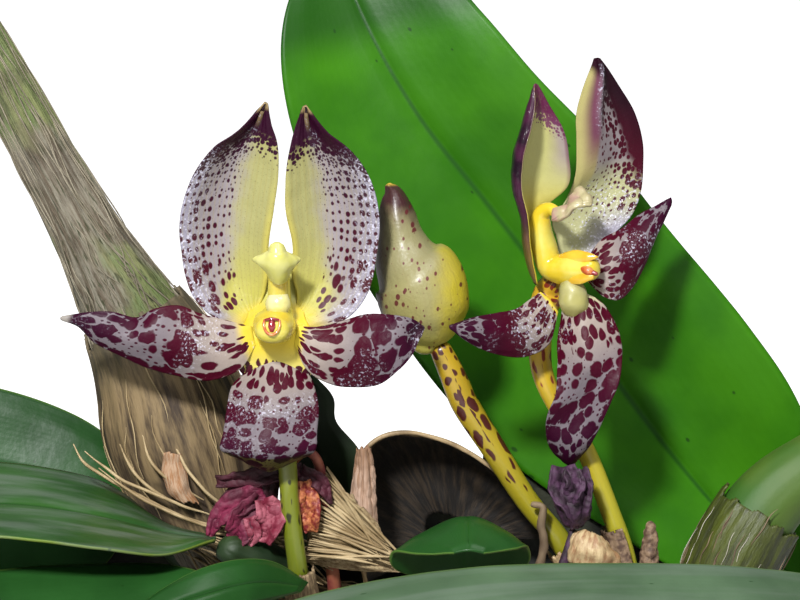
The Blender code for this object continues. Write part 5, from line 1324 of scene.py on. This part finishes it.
def loose_fibres(coats):
    """Long straw fibres beside the large pseudobulb and the fan in front of the hood."""
    lines = [strand(line, 22, 0.25, number) for number, line in enumerate(LOOSE_FIBRES)]
    fibres("straw_left", lines, coats["straw_fibre"], "dry", 0.24)
    draw = random.Random(12)
    lines = []
    for number in range(110):
        f = draw.random()
        foot = Vector((-2.4 + 4.0 * f, 4.0 + 2.5 * draw.random(), 24.4 + 1.6 * draw.random()))
        spread = draw.random()
        head = Vector((-13.2 + 3.2 * spread, 4.4 + 3.0 * draw.random(), 25.0 + 13.5 * spread))
        bend = (foot + head) / 2 + Vector((0.5, draw.uniform(-0.8, 0.2), 0.5 - spread))
        start = draw.uniform(0.0, 0.45)
        path = [Vector(point) for point in (foot, bend, head)]
        lines.append([spline(path, start + (1 - start) * step / 8) for step in range(9)])
    fibres("straw_fan", lines, coats["straw_fibre"], "dry", 0.22)
    fan = [[(-13.0, 7.0, 24.6), (-6.5, 6.4, 23.6), (0.6, 6.2, 23.4)],
           [(-12.6, 7.0, 29.6), (-6.8, 6.0, 28.0), (-0.6, 6.0, 25.6)],
           [(-11.6, 7.2, 34.0), (-7.0, 6.2, 32.2), (-2.2, 6.2, 28.4)],
           [(-10.4, 7.4, 37.6), (-7.6, 6.6, 36.0), (-3.6, 6.6, 31.4)]]
    flat = straw_paint("flat_straw", (0.56, 0.42, 0.22), (0.26, 0.16, 0.07), 14.0, 26.0, stain=0.35)

    def straws(u, t, point):
        return 0.3 * rough((u * 10, t * 16, 0.0), 1.0, 4)

    blade("straw_sheet", moved(fan), FLAKE_THICKNESS, flat, "dry", None, 44, 44, straws, torn(11, 0.2))
    flake = [[(-32.6, 7.4, 40.2), (-31.4, 6.8, 40.6), (-30.0, 7.4, 40.0)],
             [(-32.8, 6.8, 37.6), (-31.0, 5.8, 37.6), (-29.4, 6.8, 37.2)],
             [(-32.2, 6.4, 35.2), (-30.4, 5.4, 35.0), (-28.6, 6.4, 34.6)],
             [(-30.8, 6.2, 33.0), (-29.0, 5.4, 32.6), (-27.4, 6.2, 32.6)]]
    blade("sheath_flake", moved(flake), FLAKE_THICKNESS, coats["orange_flake"], "dry", None, 30, 40,
          lumpy((0.45, 1.8, 4)), torn(13, 0.15, low=True))
    lines = []
    for number in range(90):
        angle = draw.uniform(0, 2 * math.pi)
        foot = Vector((-24.5 + 7 * math.cos(angle), 17.0 + 7 * math.sin(angle), 27.0 + draw.uniform(-2, 3)))
        tip = foot + Vector((draw.uniform(3, 13), draw.uniform(-4, 2), draw.uniform(-9, -2)))
        bend = (foot + tip) / 2 + Vector((0.5, -1.2, draw.uniform(0.4, 1.6)))
        lines.append(strand([foot, bend, tip], 8, 0.35, number))
    fibres("straw_skirt", lines, coats["straw_fibre"], "dry", 0.19)


def dry_hood(coats):
    rows = []
    for point in HOOD_RIM:
        rim = Vector(point)
        row = []
        for keep, back in HOOD_DEPTHS:
            inner = HOOD_CENTRE + (rim - HOOD_CENTRE) * keep
            inner.y = rim.y + (HOOD_CENTRE.y - rim.y) * back
            row.append(inner)
        rows.append(row)

    def ribs(u, t, point):
        fine = 0.25 * rough((u * 6, t * 26, 0.0), 1.0, 7)
        return fine + 0.3 * rough((u * 3, t * 8, 3.0), 1.0, 8) * ease(u, 0.0, 0.2)

    paint = Paint("hood")
    streak = paint.noise(1.0, 5.0, paint.vector(paint.u * 3.0, paint.t * 40.0), 0.65)
    # The hollow of the arched sheath is painted near black: its dark brown deepened by painted shade. The tan
    # is its cut rim.
    inside = paint.mix(paint.ease(streak, 0.42, 0.66), (0.010, 0.007, 0.005), (0.055, 0.036, 0.020))
    rim = paint.mix(paint.ease(streak, 0.40, 0.60), (0.20, 0.12, 0.05), (0.46, 0.32, 0.16))
    colour = paint.mix(paint.ease(paint.u, 0.12, 0.05), inside, rim)
    inner = paint.finish(colour, 0.7, streak, 0.7, 0.0004)
    blade("hood_sheet", rows, SHEATH_THICKNESS, inner, "dry", "dry_hood", 40, 110, ribs, back=coats["straw"])
    rim_line = strand(HOOD_RIM, 60, 0.12, 2)
    stem("hood_rim", rim_line, [0.30 + 0.10 * rough(p, 3.0) for p in rim_line], coats["hood_rim"], "dry",
         steps=110, sides=10)
    # The pinkish sheath that stands at the hood's left foot.
    sheath = [[(-5.9, 9.4, 41.4), (-5.0, 8.8, 41.8), (-4.2, 9.2, 41.4)],
              [(-6.4, 9.2, 37.0), (-4.9, 8.2, 37.2), (-3.5, 9.0, 37.0)],
              [(-7.0, 8.8, 32.0), (-5.0, 7.6, 32.2), (-3.2, 8.8, 32.0)],
              [(-6.6, 8.4, 27.0), (-4.9, 7.4, 27.2), (-3.0, 8.6, 27.0)],
              [(-5.8, 8.2, 22.6), (-4.6, 7.6, 22.8), (-3.2, 8.4, 22.6)]]
    pink = straw_paint("pink_sheath", (0.70, 0.48, 0.36), (0.42, 0.24, 0.14), 10.0, 2.0, stain=0.25,
                       fringe=(0.24, 0.10, 0.025))
    blade("hood_sheath", moved(sheath[::-1]), FLAKE_THICKNESS, pink, "dry", None, 30, 60, ribs,
          torn(9, 0.10, low=True))


# Near black sheets put deep between the leaves as painted shade: in the arched one, below the back leaf and
# below the low leaves.
SHADE_FILLERS = [
    [[(-19, 25, 8), (6, 27, 8), (23, 25, 10)],
     [(-19, 25, 19), (6, 27, 20), (23.4, 25, 19)],
     [(-17, 25, 26), (6, 27, 29), (19, 25, 26)],
     [(-2, 25, 35), (7, 27, 36), (13.5, 25, 31.4)]],
    [[(11, 28, 10), (19, 28, 10), (27, 28, 10), (35, 28, 10), (42, 28, 10)],
     [(11, 28.4, 24), (19, 28.4, 22), (27, 28.4, 19), (35, 28.4, 17), (42, 28.4, 15)],
     [(12, 28.6, 37), (20, 28.6, 33.6), (28, 28.6, 28.6), (36, 28.6, 23.8), (42, 28.6, 20.4)]],
    [[(-47, 27, 12), (-38, 29, 12), (-25, 28, 12)],
     [(-46, 27, 18), (-38, 29, 18), (-26, 28, 18)],
     [(-44, 27, 24), (-38, 29, 24), (-29, 28, 23)]],
]


def shade_filler(coats):
    # Each sheet is near black, painted shade where only shadow shows.
    for number, rows in enumerate(SHADE_FILLERS):
        blade(f"shade_sheet_{number}", moved(rows), 0.8, coats["shade_filler"], "dry", None, 40, 50,
              lumpy((0.3, 2.5, 6)))


def bracts(coats):
    """Papery scales at the feet of the stalks."""
    def creases(u, t, point):
        return 0.22 * rough((u * 12, t * 3, 0.0), 1.0, 3) + 0.15 * rough(point, 1.2, 5)

    cream = straw_paint("bract_cream", (0.74, 0.56, 0.30), (0.42, 0.22, 0.10), 8.0, 2.0, 0.5, stain=0.6)
    for name, path, radii, place_at, angles, stretch, coat in [
            ("flower_a_bract", A_STALK, A_STALK_RADII, FLOWER_A, (-110, 110), (0.74, 0.86), coats["straw"]),
            ("flower_b_bract", B_STALK, B_STALK_RADII, FLOWER_B, (-20, 150), (0.78, 0.96), coats["warty"]),
            ("bud_bract", BUD_STALK, BUD_STALK_RADII, (0, 0, 0), (-110, 110), (0.72, 0.95), cream)]:
        axis = moved([path], place_at)[0]
        blade(name + "_scale", wrap(axis, radii, angles, 0.8, stretch), SHEATH_THICKNESS, coat, "dry", name,
              40, 36, creases, torn(4, 0.18, low=True))
    papery = [[(22.6, 5.6, 25.4), (24.0, 3.8, 25.0), (27.0, 3.2, 24.6), (30.4, 5.2, 24.2)],
              [(22.9, 5.2, 27.0), (24.4, 3.0, 27.0), (27.4, 2.4, 26.6), (30.2, 4.8, 25.8)],
              [(23.6, 5.0, 28.6), (25.0, 3.4, 28.8), (27.2, 3.0, 28.2), (29.2, 4.8, 27.0)],
              [(24.6, 5.4, 29.6), (25.8, 4.6, 29.8), (27.0, 4.4, 29.2), (28.2, 5.2, 28.2)]]
    blade("papery_bract", moved(papery), 0.4, cream, "dry", None, 40, 30, creases, torn(2, 0.12))
    scale = [[(33.0, 6.6, 23.8), (34.4, 5.6, 23.8), (35.8, 6.6, 23.8)],
             [(33.2, 6.6, 26.6), (34.4, 5.7, 26.6), (35.6, 6.6, 26.6)],
             [(33.7, 6.7, 29.0), (34.5, 6.0, 29.2), (35.3, 6.7, 29.0)],
             [(34.2, 6.8, 30.4), (34.5, 6.6, 30.6), (34.8, 6.8, 30.4)]]
    blade("warty_scale", moved(scale), 0.6, coats["warty"], "dry", None, 24, 40, lumpy((0.35, 0.7, 2)))


def lobe(name, path, widths, material, seed, fold=0.5):
    """One shrivelled lobe of a withered flower: a folded strip with crumpled faces."""
    points = [Vector(point) for point in path]
    reaches = [Vector((width, 0, 0)) for width in widths]
    rows = []
    for index in range(7):
        t = index / 6
        centre = spline(points, t)
        direction = (spline(points, min(t + 0.05, 1)) - spline(points, max(t - 0.05, 0))).normalized()
        side = direction.cross(Vector((0, -1, 0.1))).normalized()
        reach = spline(reaches, t).x
        turn = rough((t * 2, seed, 0.0), 1.0) * 1.2
        side = side * math.cos(turn) + direction.cross(side) * math.sin(turn)
        toward = side.cross(direction)
        rows.append([centre + side * reach * a + toward * reach * fold * (abs(a) - 0.5)
                     for a in (-1, -0.5, 0, 0.5, 1)])
    creases = lumpy((0.35, 1.3, seed), (0.22, 0.55, seed + 3))
    return blade(name, rows, 0.7, material, "spent", None, 30, 56, creases)


# Lobes of the withered flowers: the colour of each, its path and its half width along it. The pink lobes are
# painted highlights of the magenta.
MAGENTA_LOBES = {
    "a": ("dark_magenta", [(-25.2, 4.6, 36.4), (-21.4, 3.6, 36.9), (-17.0, 3.8, 37.6), (-13.4, 4.6, 38.0)],
          [0.8, 1.3, 1.3, 0.8]),
    "b": ("magenta", [(-18.6, 3.6, 35.0), (-22.4, 2.8, 33.6), (-25.0, 3.0, 31.4), (-26.4, 3.6, 28.4)],
          [1.3, 1.9, 1.3, 0.2]),
    "c": ("magenta", [(-18.8, 3.0, 34.2), (-21.4, 2.2, 31.4), (-22.4, 2.6, 28.6), (-24.6, 3.2, 26.0)],
          [1.6, 2.3, 1.5, 0.2]),
    "d": ("pink", [(-18.6, 2.6, 34.4), (-17.6, 2.0, 31.6), (-18.4, 2.4, 28.2)], [1.4, 2.1, 0.9]),
    "e": ("rust", [(-13.2, 4.0, 36.6), (-12.4, 3.4, 33.0), (-12.2, 4.0, 29.4)], [1.0, 1.6, 0.9]),
    "f": ("dark_magenta", [(-13.6, 4.4, 37.6), (-11.0, 3.8, 36.4), (-9.4, 4.2, 33.2)], [1.3, 1.2, 0.2]),
    "g": ("pink", [(-20.6, 2.4, 31.8), (-20.0, 2.2, 29.6), (-20.8, 2.8, 27.4)], [0.9, 1.1, 0.2]),
}
PURPLE_LOBES = {
    "a": ([(22.4, 4.4, 38.6), (22.6, 3.2, 36.0), (23.4, 3.0, 33.0), (24.0, 4.6, 29.8)], [1.6, 2.3, 1.6, 0.5]),
    "b": ([(24.6, 4.4, 38.2), (24.8, 3.4, 35.6), (24.6, 3.4, 32.6), (24.2, 4.8, 30.0)], [1.4, 1.7, 1.4, 0.5]),
    "c": ([(23.4, 3.6, 38.0), (23.8, 2.4, 36.0), (23.6, 2.6, 33.6)], [1.2, 1.5, 0.9]),
}


def spent_flowers(coats):
    crumple = lumpy((0.6, 2.0, 3), (0.35, 0.9, 6))
    blade("wilted_left", moved(SPENT_MAGENTA), 1.0, coats["dark_magenta"], "spent", "spent_flower_left", 44,
          50, crumple, torn(6, 0.15))
    for letter, (coat, path, widths) in MAGENTA_LOBES.items():
        lobe("wilted_left_" + letter, path, widths, coats[coat], ord(letter) * 1.3)
    stem("wilted_stalk_left", SPENT_MAGENTA_STALK, [0.6, 0.6, 0.7, 0.8, 0.9, 1.0], coats["red_stalk"],
         "spent", "spent_stalk_left", 60, 14)
    purple = coats["dusty_purple"]
    blade("wilted_right", moved(SPENT_PURPLE), 1.4, purple, "spent", "spent_flower_right", 44, 50, crumple)
    for letter, (path, widths) in PURPLE_LOBES.items():
        lobe("wilted_right_" + letter, path, widths, purple, ord(letter) * 0.7, fold=0.9)
    stem("wilted_stalk_right", SPENT_PURPLE_STALK, [0.5, 0.6, 0.7, 0.8], purple, "spent", "spent_stalk_right",
         40, 12)
    stem("dry_hook", DRY_HOOK, [0.4, 0.5, 0.6, 0.6, 0.7, 0.8], coats["brown_fibre"], "dry", "dry_stalk", 60,
         12, lumpy((0.15, 1.2, 3)))


# Rhizome and roots


def mat_top(x):
    return 12.2 - 0.115 * x


def mat_edge(angle):
    """A point of the mat's rippled outline, on the surface."""
    ripple = 1 + MAT_RIPPLE * math.sin(5 * angle)
    x = MAT_CENTRE[0] + MAT_HALF_WIDTH * math.cos(angle)
    y = MAT_CENTRE[1] + MAT_HALF_DEPTH * ripple * math.sin(angle)
    return Vector((x, y, 0))


def mat_point(angle, rise, above=0.0):
    """A point on the mat's dome. rise goes from 0 at the rim to 1 at the top."""
    middle = Vector((*MAT_CENTRE, 0))
    place_on = middle + (mat_edge(angle) - middle) * math.cos(rise * math.pi / 2)
    place_on.z = math.sin(rise * math.pi / 2) * mat_top(place_on.x) + above
    return place_on


def root_mat(coats):
    def shape(u, t):
        point = mat_point(2 * math.pi * u, t)
        lump = 0.8 * rough(point, 5.0, 3) + 0.5 * rough(point, 1.8, 5)
        return point + Vector((0, 0, 1)) * lump * ease(t, 0.0, 0.2) - Vector((0, 0, 0.8)) * ease(t, 0.0, 0.2)

    mesh = grid_mesh("root_mat_core", 150, 30, shape)
    core = bmesh.new()
    core.from_mesh(mesh)
    bmesh.ops.remove_doubles(core, verts=core.verts, dist=MERGE_DISTANCE * MM)
    rim = [edge for edge in core.edges if edge.is_boundary]
    bmesh.ops.contextual_create(core, geom=rim)
    bmesh.ops.recalc_face_normals(core, faces=core.faces)
    core.to_mesh(mesh)
    core.free()
    place(bpy.data.objects.new("root_mat_core", mesh), coats["root_core"], "root", "root_mat")
    draw = random.Random(21)
    thick, thin = [], []
    for number in range(260):
        angle = draw.uniform(0, 2 * math.pi)
        turn = draw.uniform(-0.5, 0.5)
        start = draw.uniform(0.25, 0.95)
        line = []
        for index in range(12):
            f = index / 11
            rise = max(start * (1 - f) + 0.015, 0.012)
            above = 0.25 + 0.9 * abs(rough((3 * f, number, 0.0), 1.0, 2)) * ease(f, 1.0, 0.7)
            bend = 0.10 * math.sin(6 * f + number)
            line.append(mat_point(angle + turn * f + bend, rise, above))
        (thick if number % 3 == 0 else thin).append(line)
    fibres("mat_roots", thick, coats["root"], "root", 0.62, taper=0.6)
    fibres("mat_rootlets", thin, coats["root_dark"], "root", 0.30, taper=0.5)


def roots(coats):
    def wrinkle(u, t, point):
        return 0.10 * rough(point, 1.6, 4) - 0.04

    for number, (angle, steps) in enumerate(ROOTS, 1):
        edge = mat_edge(math.radians(angle))
        outward = (edge - Vector((*MAT_CENTRE, 0))).normalized()
        start = edge + outward * 0.5
        route = [start - outward * 3.5, start] + [start + Vector((right, away, 0)) for right, away in steps]
        radii = [1.0] + ROOT_RADII
        path = [Vector((point.x, point.y, radius)) for point, radius in zip(route, radii)]
        stem(f"root_{number}_cord", path, radii, coats["root"], "root", f"root_{number}", 80, 14, wrinkle)


def rhizome(coats):
    def rings(u, t, point):
        return 0.28 * abs(math.sin(24 * math.pi * t)) + 0.25 * rough(point, 2.0, 3) - 0.1

    stem("rhizome_stem", RHIZOME, RHIZOME_RADII, coats["rhizome"], "dry", "rhizome", 160, 40, rings)
    draw = random.Random(5)
    lines = []
    for _ in range(170):
        t = draw.uniform(0.0, 0.86)
        angle = draw.uniform(-math.pi, math.pi)
        turn = draw.uniform(-0.5, 0.5)
        line = []
        for index in range(8):
            f = index / 7
            line.append(around_axis(RHIZOME, RHIZOME_RADII, angle + turn * f, min(t + 0.12 * f, 0.99),
                                    0.25 + 0.7 * f * draw.random()))
        lines.append(line)
    fibres("rhizome_fibres", lines, coats["straw_fibre"], "dry", 0.16)


# Light, floor and camera


def bright_to_camera(tree, socket, seen, felt):
    """A strength that the camera sees, and a lower one that lights the plant."""
    path = tree.nodes.new("ShaderNodeLightPath")
    level = tree.nodes.new("ShaderNodeMapRange")
    level.inputs["To Min"].default_value = felt
    level.inputs["To Max"].default_value = seen
    tree.links.new(path.outputs["Is Camera Ray"], level.inputs["Value"])
    tree.links.new(level.outputs[0], socket)


def floor():
    mesh = bpy.data.meshes.new("floor")
    sheet = bmesh.new()
    bmesh.ops.create_grid(sheet, x_segments=1, y_segments=1, size=FLOOR_HALF)
    sheet.to_mesh(mesh)
    sheet.free()
    item = bpy.data.objects.new("floor", mesh)
    bpy.context.scene.collection.objects.link(item)
    material = bpy.data.materials.new("floor")
    material.use_nodes = True
    shader = material.node_tree.nodes["Principled BSDF"]
    shader.inputs["Base Color"].default_value = (FLOOR_GREY, FLOOR_GREY, FLOOR_GREY, 1.0)
    shader.inputs["Roughness"].default_value = FLOOR_ROUGHNESS
    shader.inputs["Emission Color"].default_value = (1.0, 1.0, 1.0, 1.0)
    bright_to_camera(material.node_tree, shader.inputs["Emission Strength"], WHITE_SEEN, FLOOR_FELT)
    mesh.materials.append(material)


def lamp(name, where, power, size, colour):
    data = bpy.data.lights.new(name, "AREA")
    data.energy = power
    data.size = size
    data.color = colour
    item = bpy.data.objects.new(name, data)
    item.location = where
    aim = Vector(LAMP_AIM) - Vector(where)
    item.rotation_euler = aim.to_track_quat("-Z", "Y").to_euler()
    bpy.context.scene.collection.objects.link(item)


def studio():
    world = bpy.data.worlds.new("studio")
    world.use_nodes = True
    background = world.node_tree.nodes["Background"]
    background.inputs["Color"].default_value = (1.0, 1.0, 1.0, 1.0)
    bright_to_camera(world.node_tree, background.inputs["Strength"], WHITE_SEEN, WORLD_FELT)
    bpy.context.scene.world = world
    for name, settings in LAMPS.items():
        lamp(name, **settings)
    bpy.context.scene.view_settings.view_transform = "Standard"
    bpy.context.scene.view_settings.look = "None"


def camera():
    data = bpy.data.cameras.new("camera")
    data.sensor_width = SENSOR_WIDTH
    data.lens = SENSOR_WIDTH * VIEW_DISTANCE / VIEW_WIDTH
    data.clip_start = NEAREST
    item = bpy.data.objects.new("camera", data)
    item.location = (0.0, -VIEW_DISTANCE * math.cos(VIEW_TILT),
                     VIEW_HEIGHT + VIEW_DISTANCE * math.sin(VIEW_TILT))
    item.rotation_euler = (math.pi / 2 - VIEW_TILT, 0.0, 0.0)
    bpy.context.scene.collection.objects.link(item)
    bpy.context.scene.camera = item


# Colours in two tones, low and high, for the pieces without a pattern of their own.
SOFT_COATS = {
    "lip": ((0.70, 0.66, 0.10), (0.80, 0.76, 0.26), {"roughness": 0.30, "coat": 0.3}),
    "lip_pink": ((0.54, 0.47, 0.25), (0.52, 0.31, 0.26), {"scale": 420.0, "roughness": 0.34, "coat": 0.25}),
    "column": ((0.86, 0.62, 0.03), (0.86, 0.74, 0.12), {"roughness": 0.26, "coat": 0.5}),
    "column_pale": ((0.88, 0.78, 0.18), (0.92, 0.86, 0.45), {"roughness": 0.22, "coat": 0.8}),
    "column_orange": ((0.86, 0.46, 0.02), (0.90, 0.60, 0.05), {"roughness": 0.28, "coat": 0.5}),
    "anther": ((0.62, 0.10, 0.02), (0.84, 0.36, 0.10), {"scale": 900.0, "roughness": 0.25, "coat": 0.4}),
    "cream_boss": ((0.46, 0.42, 0.13), (0.56, 0.52, 0.24), {"scale": 300.0, "roughness": 0.42, "coat": 0.1}),
    "stigma": ((0.30, 0.01, 0.02), (0.44, 0.03, 0.04), {"scale": 900.0, "roughness": 0.18, "coat": 0.9}),
    "grey_fibre": ((0.20, 0.17, 0.11), (0.36, 0.31, 0.22), {"scale": 240.0, "roughness": 0.7}),
    "straw_fibre": ((0.34, 0.23, 0.10), (0.60, 0.45, 0.24), {"scale": 260.0, "roughness": 0.65}),
    "pale_fibre": ((0.50, 0.46, 0.36), (0.66, 0.62, 0.52), {"scale": 240.0, "roughness": 0.6}),
    "brown_fibre": ((0.13, 0.08, 0.045), (0.26, 0.18, 0.10), {"scale": 240.0, "roughness": 0.7}),
    # Near black for the sheets that stand in for shade between the leaves.
    "shade_filler": ((0.004, 0.005, 0.002), (0.022, 0.026, 0.007),
               {"scale": 140.0, "roughness": 0.8, "strength": 0.6}),
    "hood_rim": ((0.30, 0.20, 0.10), (0.56, 0.40, 0.21), {"scale": 300.0, "roughness": 0.6, "strength": 0.4}),
    "warty": ((0.10, 0.05, 0.03), (0.34, 0.22, 0.13),
              {"scale": 1100.0, "roughness": 0.7, "strength": 0.8, "bumps": 1300.0}),
    "magenta": ((0.10, 0.002, 0.022), (0.26, 0.014, 0.065),
                {"scale": 420.0, "roughness": 0.7, "strength": 0.9}),
    "dark_magenta": ((0.030, 0.001, 0.006), (0.085, 0.003, 0.018),
                     {"scale": 330.0, "roughness": 0.7, "strength": 0.8}),
    # Pink: the withered magenta as it looks where lit, a painted highlight.
    "pink": ((0.22, 0.008, 0.035), (0.52, 0.13, 0.18), {"scale": 480.0, "roughness": 0.65, "strength": 0.9}),
    "rust": ((0.22, 0.008, 0.010), (0.62, 0.20, 0.07), {"scale": 1500.0, "roughness": 0.6, "strength": 0.8}),
    "red_stalk": ((0.22, 0.015, 0.03), (0.50, 0.16, 0.08),
                  {"scale": 260.0, "roughness": 0.6, "strength": 0.4}),
    "dusty_purple": ((0.022, 0.006, 0.016), (0.085, 0.028, 0.075),
                     {"scale": 700.0, "roughness": 0.7, "strength": 0.9}),
    "root": ((0.42, 0.38, 0.28), (0.60, 0.56, 0.46), {"scale": 180.0, "roughness": 0.8, "strength": 0.6}),
    "root_dark": ((0.22, 0.16, 0.10), (0.40, 0.31, 0.20),
                  {"scale": 200.0, "roughness": 0.85, "strength": 0.6}),
    "root_core": ((0.05, 0.035, 0.022), (0.15, 0.105, 0.065),
                  {"scale": 160.0, "roughness": 0.95, "strength": 0.9}),
    "rhizome": ((0.12, 0.075, 0.04), (0.30, 0.21, 0.12), {"scale": 210.0, "roughness": 0.8, "strength": 0.8}),
}


def shared_coats():
    coats = {name: soft_paint(name, low, high, **rest) for name, (low, high, rest) in SOFT_COATS.items()}
    coats["sepal_underside"] = petal_paint("sepal_underside", 23, across=5.0, along=9.0, size=0.34,
                                           ground=(0.16, 0.14, 0.05), foot_colour=(0.30, 0.26, 0.06))
    coats["orange_flake"] = straw_paint("orange_flake", (0.62, 0.42, 0.27), (0.42, 0.19, 0.07), 12.0, 3.0)
    coats["straw"] = straw_paint("straw", (0.46, 0.33, 0.17), (0.17, 0.10, 0.05))
    coats["sepal_back"] = sepal_back_paint("sepal_back")
    return coats


def main():
    coats = shared_coats()
    flower_a(coats)
    flower_b(coats)
    bud()
    leaves()
    pseudobulbs()
    sheaths(coats)
    loose_fibres(coats)
    dry_hood(coats)
    bracts(coats)
    shade_filler(coats)
    spent_flowers(coats)
    root_mat(coats)
    roots(coats)
    rhizome(coats)
    floor()
    studio()
    camera()


main()
